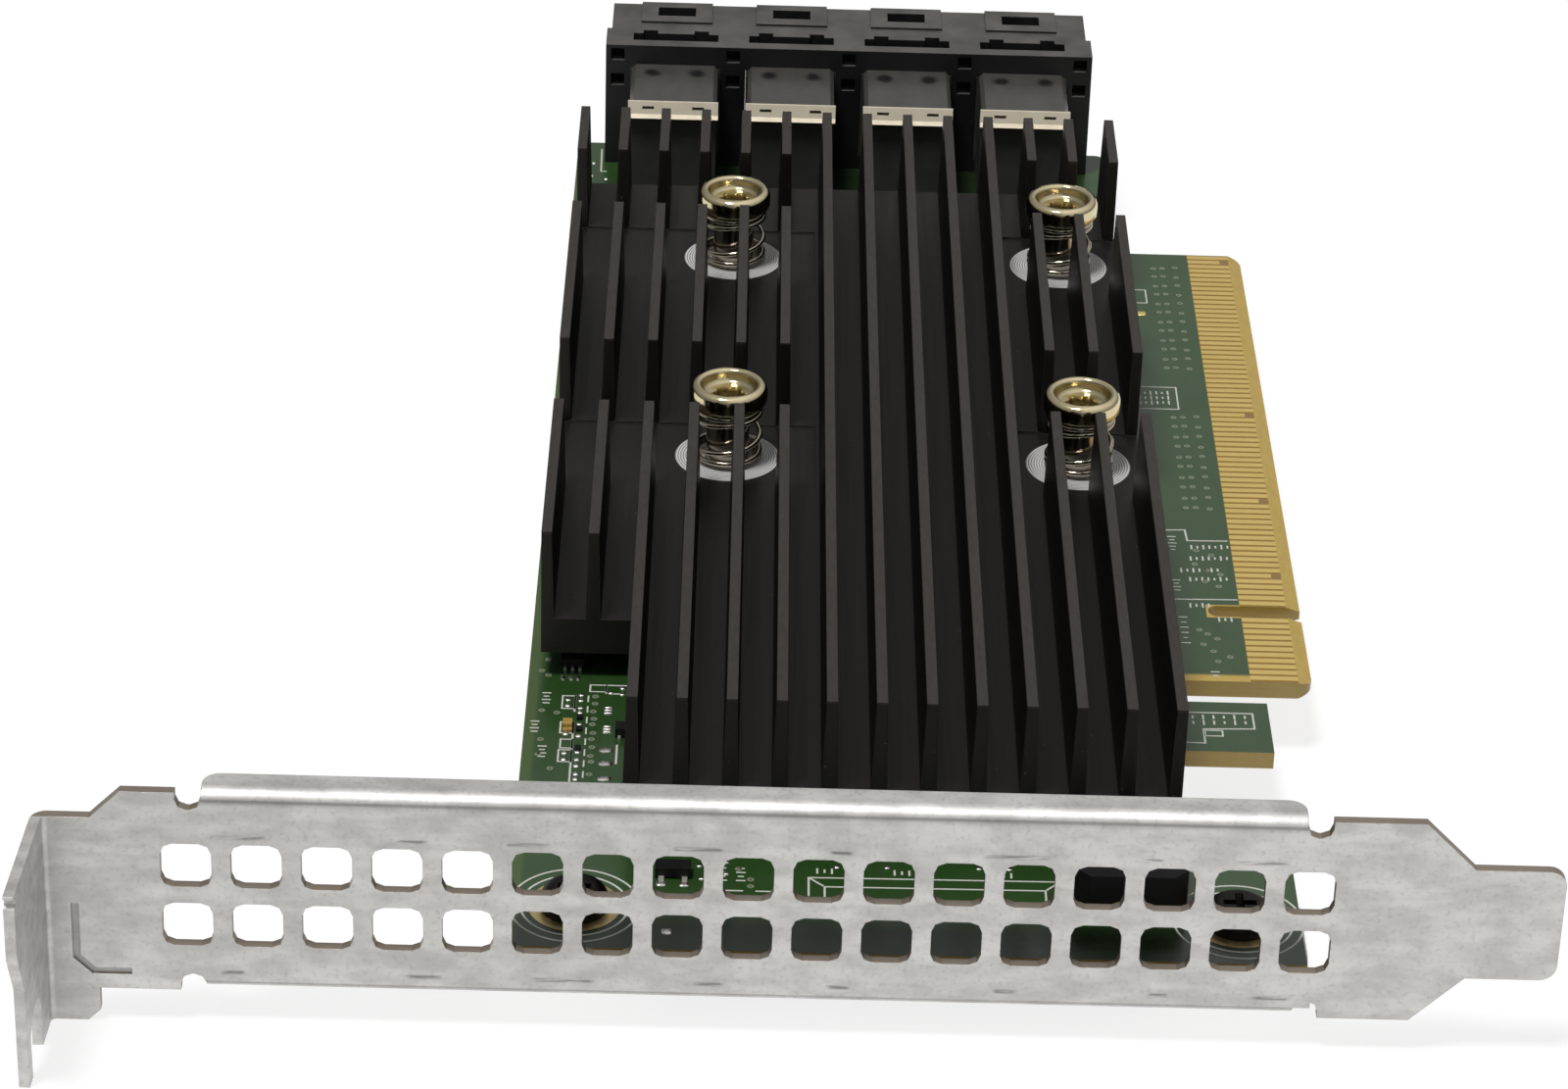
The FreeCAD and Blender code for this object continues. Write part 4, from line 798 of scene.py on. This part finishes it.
# Vias: bore and rim, the rows that each hold a cluster, and single ones.
VIA_BORE, VIA_RIM = 0.09, 0.3
VIA_ROWS = (67.4, 63.4, 59.4, 55.4, 51.4, 47.4, 35.3, 31.3, 27.3, 23.3, 19.3)
VIA_CLUSTER = [(-9.0, 1.4), (-8.1, 1.5), (-6.8, 1.7), (-9.0, -0.4), (-8.1, -0.3), (-6.8, -0.5)]
VIA_SINGLES = [
    (-62.2, -17.4), (-62.2, -18.6), (-62.3, -19.9), (-62.2, -21.1), (-62.3, -22.0), (-62.2, -23.4),
    (-62.3, -24.4), (-62.2, -25.7), (-62.3, -27.1), (-62.2, -28.0), (-62.3, -30.0), (-66.7, -19.9),
    (-65.4, -20.2), (-67.0, -13.3), (-66.5, -11.4), (-66.4, -14.0), (-65.6, -29.2), (-66.6, -24.6),
    (-66.7, -27.0), (-8.6, 10.9), (-7.3, 10.1), (-8.9, 8.4), (-7.9, 7.3), (-6.7, 6.6), (-8.2, 5.2),
    (-7.0, 4.4), (-9.3, -3.4), (-8.6, -4.1), (-9.1, -5.9), (-7.8, -4.9), (-8.3, -7.1), (-6.9, -8.0),
    (-8.0, -8.8), (-49.6, -43.9), (-48.6, -45.4), (-48.6, -46.4),
]


def vias(shape, low, high):
    places = [(x, row + y) for row in VIA_ROWS for x, y in VIA_CLUSTER] + VIA_SINGLES
    for x, y in places:
        washer(shape, x, y, VIA_BORE, VIA_RIM, low, high, 14)


def board_vias(look, hole_look):
    upper, lower = Shape(), Shape()
    vias(upper, BOARD_TOP, BOARD_TOP + PRINT_HIGH)
    vias(lower, BOARD_LOW, BOARD_LOW - PRINT_HIGH)
    piece("vias_upper", upper, look, smooth=False)
    piece("vias_lower", lower, look, smooth=False)
    dot = Shape()
    dome(dot, -10.8, 58.7, 0.9, 0.9, BOARD_TOP, BOARD_TOP + 0.05)
    piece("test_point", dot, hole_look)


# Lines under the board: width, height, and half the distance between the two of a pair.
TRACE_WIDE, TRACE_HIGH, TRACE_ASIDE = 0.16, 0.01, 0.22
EDGE_LANES, PORT_LANES = 16, 4


def under_traces(look):
    """Pairs of lines under the board, from the edge contacts towards the middle and on to the sockets."""
    shape = Shape()

    def pair(path, across, along):
        for side in (-TRACE_ASIDE, TRACE_ASIDE):
            moved = [(x + side * across, y + side * along) for x, y in path]
            stroke(shape, moved, TRACE_WIDE, BOARD_LOW, BOARD_LOW - TRACE_HIGH)

    for lane in range(EDGE_LANES):
        y, inner_y = 6.0 + 4.0 * lane, 24.0 + 1.6 * lane
        pair([(-5.6, y), (-10.0, y), (-16.5, inner_y), (-22.5, inner_y)], 0, 1)
    for port in PORTS:
        for lane in range(PORT_LANES):
            x = port - 3.0 + 2.0 * lane
            inner_x = -35.5 + (x + 40.0) * 0.5
            pair([(x, 82.0), (x, 76.0), (inner_x, 62.0), (inner_x, 51.0)], 1, 0)
    piece("traces_lower", shape, look, smooth=False)


# Solder points under each socket: how many across, their pitch, their rows, and width and height.
JOINT_COUNT, JOINT_PITCH, JOINT_ROWS = 10, 0.8, (83.6, 86.6, 89.6)
JOINT_WIDE, JOINT_HIGH = 0.45, 0.12


def under_joints(look):
    """Solder points under the board where the sockets' pins come through."""
    shape = Shape()
    for port in PORTS:
        for i in range(JOINT_COUNT):
            x = port - 3.6 + JOINT_PITCH * i
            for y in JOINT_ROWS:
                dome(shape, x, y, JOINT_WIDE, JOINT_WIDE, BOARD_LOW, BOARD_LOW - JOINT_HIGH, 10)
    piece("socket_joints", shape, look)


def dress_nodes(looks):
    """Gives every solid the look of its material slot."""
    for part in frame["record"]["subparts"]:
        node = NODES[part["node"]]
        if not node.material_slots:
            node.data.materials.append(None)
        for slot in node.material_slots:
            slot.material = looks[part["material_slot"]]


def camera():
    data = bpy.data.cameras.new("camera")
    data.lens, data.sensor_width, data.sensor_fit = CAMERA_LENS, SENSOR_WIDTH, "HORIZONTAL"
    data.clip_start, data.clip_end = 0.01, 50.0
    made = bpy.data.objects.new("camera", data)
    made.location = Vector(CAMERA_PLACE) * MM
    made.rotation_euler = Euler([math.radians(a) for a in CAMERA_TURN])
    bpy.context.scene.collection.objects.link(made)
    bpy.context.scene.camera = made


def seen(tree):
    """1 where a ray comes from the camera, a reflection or a clear body, and 0 for diffuse light."""
    path = tree.nodes.new("ShaderNodeLightPath")
    total = path.outputs["Is Camera Ray"]
    for name in ("Is Glossy Ray", "Is Transmission Ray"):
        both = tree.nodes.new("ShaderNodeMath")
        both.operation = "MAXIMUM"
        tree.links.new(total, both.inputs[0])
        tree.links.new(path.outputs[name], both.inputs[1])
        total = both.outputs[0]
    return total


def sky():
    """White to the camera, darker towards the horizon in reflections, and a gentle fill from overhead."""
    world = bpy.data.worlds.new("studio")
    world.use_nodes = True
    tree = world.node_tree
    at = tree.nodes.new("ShaderNodeTexCoord")
    axes = tree.nodes.new("ShaderNodeSeparateXYZ")
    tree.links.new(at.outputs["Generated"], axes.inputs[0])
    path = tree.nodes.new("ShaderNodeLightPath")

    def ramp(axis, first, last, low, high):
        made = tree.nodes.new("ShaderNodeMapRange")
        for socket, value in (("From Min", first), ("From Max", last), ("To Min", low), ("To Max", high)):
            made.inputs[socket].default_value = value
        tree.links.new(axes.outputs[axis], made.inputs["Value"])
        return made.outputs[0]

    def background(low, high, sides=0.0):
        strength = tree.nodes.new("ShaderNodeMath")
        strength.operation = "MULTIPLY"
        tree.links.new(ramp(2, 0.0, 1.0, low, high), strength.inputs[0])
        tree.links.new(ramp(0, -0.15, 0.15, 1 - sides, 1 + sides), strength.inputs[1])
        made = tree.nodes.new("ShaderNodeBackground")
        made.inputs["Color"].default_value = (1, 1, 1, 1)
        tree.links.new(strength.outputs[0], made.inputs["Strength"])
        return made.outputs[0]

    shown = background(0.0, SKY_FILL)
    layers = [("Is Glossy Ray", background(SKY_LOW, SKY_HIGH, SKY_SIDES)),
              ("Is Transmission Ray", background(1.0, 1.0)), ("Is Camera Ray", background(1.0, 1.0))]
    for kind, layer in layers:
        mix = tree.nodes.new("ShaderNodeMixShader")
        tree.links.new(path.outputs[kind], mix.inputs[0])
        tree.links.new(shown, mix.inputs[1])
        tree.links.new(layer, mix.inputs[2])
        shown = mix.outputs[0]
    tree.links.new(shown, tree.nodes["World Output"].inputs["Surface"])
    bpy.context.scene.world = world


def lamp():
    data = bpy.data.lights.new("lamp", "SUN")
    data.energy = LAMP_STRENGTH
    data.angle = math.radians(LAMP_SPREAD)
    made = bpy.data.objects.new("lamp", data)
    made.rotation_euler = Euler([math.radians(a) for a in LAMP_TURN])
    bpy.context.scene.collection.objects.link(made)


def floor():
    """A pale floor that reads as white and still takes the object's shadow."""
    material = bpy.data.materials.new("floor_white")
    material.use_nodes = True
    tree = material.node_tree
    tree.nodes.remove(tree.nodes["Principled BSDF"])
    bounce, shade = (tree.nodes.new("ShaderNodeBsdfDiffuse") for _ in range(2))
    bounce.inputs["Color"].default_value = (FLOOR_BOUNCE, FLOOR_BOUNCE, FLOOR_BOUNCE, 1)
    shade.inputs["Color"].default_value = (FLOOR_SHADE, FLOOR_SHADE, FLOOR_SHADE, 1)
    glow = tree.nodes.new("ShaderNodeEmission")
    glow.inputs["Strength"].default_value = FLOOR_GLOW
    lit, mix = tree.nodes.new("ShaderNodeAddShader"), tree.nodes.new("ShaderNodeMixShader")
    tree.links.new(shade.outputs[0], lit.inputs[0])
    tree.links.new(glow.outputs[0], lit.inputs[1])
    tree.links.new(seen(tree), mix.inputs[0])
    tree.links.new(bounce.outputs[0], mix.inputs[1])
    tree.links.new(lit.outputs[0], mix.inputs[2])
    tree.links.new(mix.outputs[0], tree.nodes["Material Output"].inputs["Surface"])
    half, low = FLOOR_WIDTH / 2 * MM, CAD_BOX[0].z - FLOOR_BELOW * MM
    mesh = bpy.data.meshes.new("floor")
    mesh.from_pydata([(-half, -half, low), (half, -half, low), (half, half, low), (-half, half, low)], [],
                     [(0, 1, 2, 3)])
    mesh.materials.append(material)
    made = bpy.data.objects.new("floor", mesh)
    bpy.context.scene.collection.objects.link(made)


camera()
sky()
lamp()
floor()

gold = gold_look()
solder = plated_look("solder_bright", srgb(196, 192, 184), srgb(236, 234, 228), 0.22, 0.4)
white_print = print_look()
chip = moulded_look("chip_epoxy", srgb(13, 13, 13), srgb(20, 20, 20), 0.56, 0.2, 0.22)
screw = screw_look()
spring = plated_look("spring_wire", srgb(150, 140, 124), srgb(190, 181, 164), 0.1, 0.16)
black_steel = plated_look("screw_black", srgb(34, 33, 32), srgb(52, 50, 48), 0.35, 0.5)
land = plated_look("land_plated", srgb(206, 182, 126), srgb(228, 208, 158), 0.3, 0.42)
anodised = heatsink_look()
nut = plated_look("nut_plated", srgb(186, 180, 164), srgb(210, 206, 192), 0.25, 0.4)
# The nylon's paler tops are partly dust and partly painted top light.
nylon = moulded_look("connector_nylon", srgb(26, 26, 27), srgb(38, 38, 39), 0.46, dust=srgb(116, 114, 110))

dress_nodes({
    "board_green": board_look(), "contact_gold": gold, "bracket_steel": bracket_look(),
    "screw_black": black_steel, "heatsink_black": anodised, "screw_nickel": screw, "spring_steel": spring,
    "nut_steel": nut, "connector_black": nylon, "module_smoke": module_look(), "clip_metal": clip_look(),
    "chip_black": chip, "thermal_grey": rubber_look(), "light_amber": amber_look(),
})

for node, body in LEADED.items():
    low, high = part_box(node)
    middle = (low.y + high.y) / 2 / MM
    tinned = leaded_look(node + "_tinned", middle - body / 2, middle + body / 2)
    NODES[node].material_slots[0].material = tinned

spring_coils(spring)
spring_screws(screw)
bracket_screws(black_steel)
spot_faces(spot_look())
fin_flanks(anodised)
land_rings(land, white_print)
board_print(white_print)
solder_pads(solder)
chip_resistors(chip)
board_vias(via_look(), gold)
under_traces(trace_look())
under_joints(solder)

bpy.context.scene.view_settings.view_transform = "Standard"
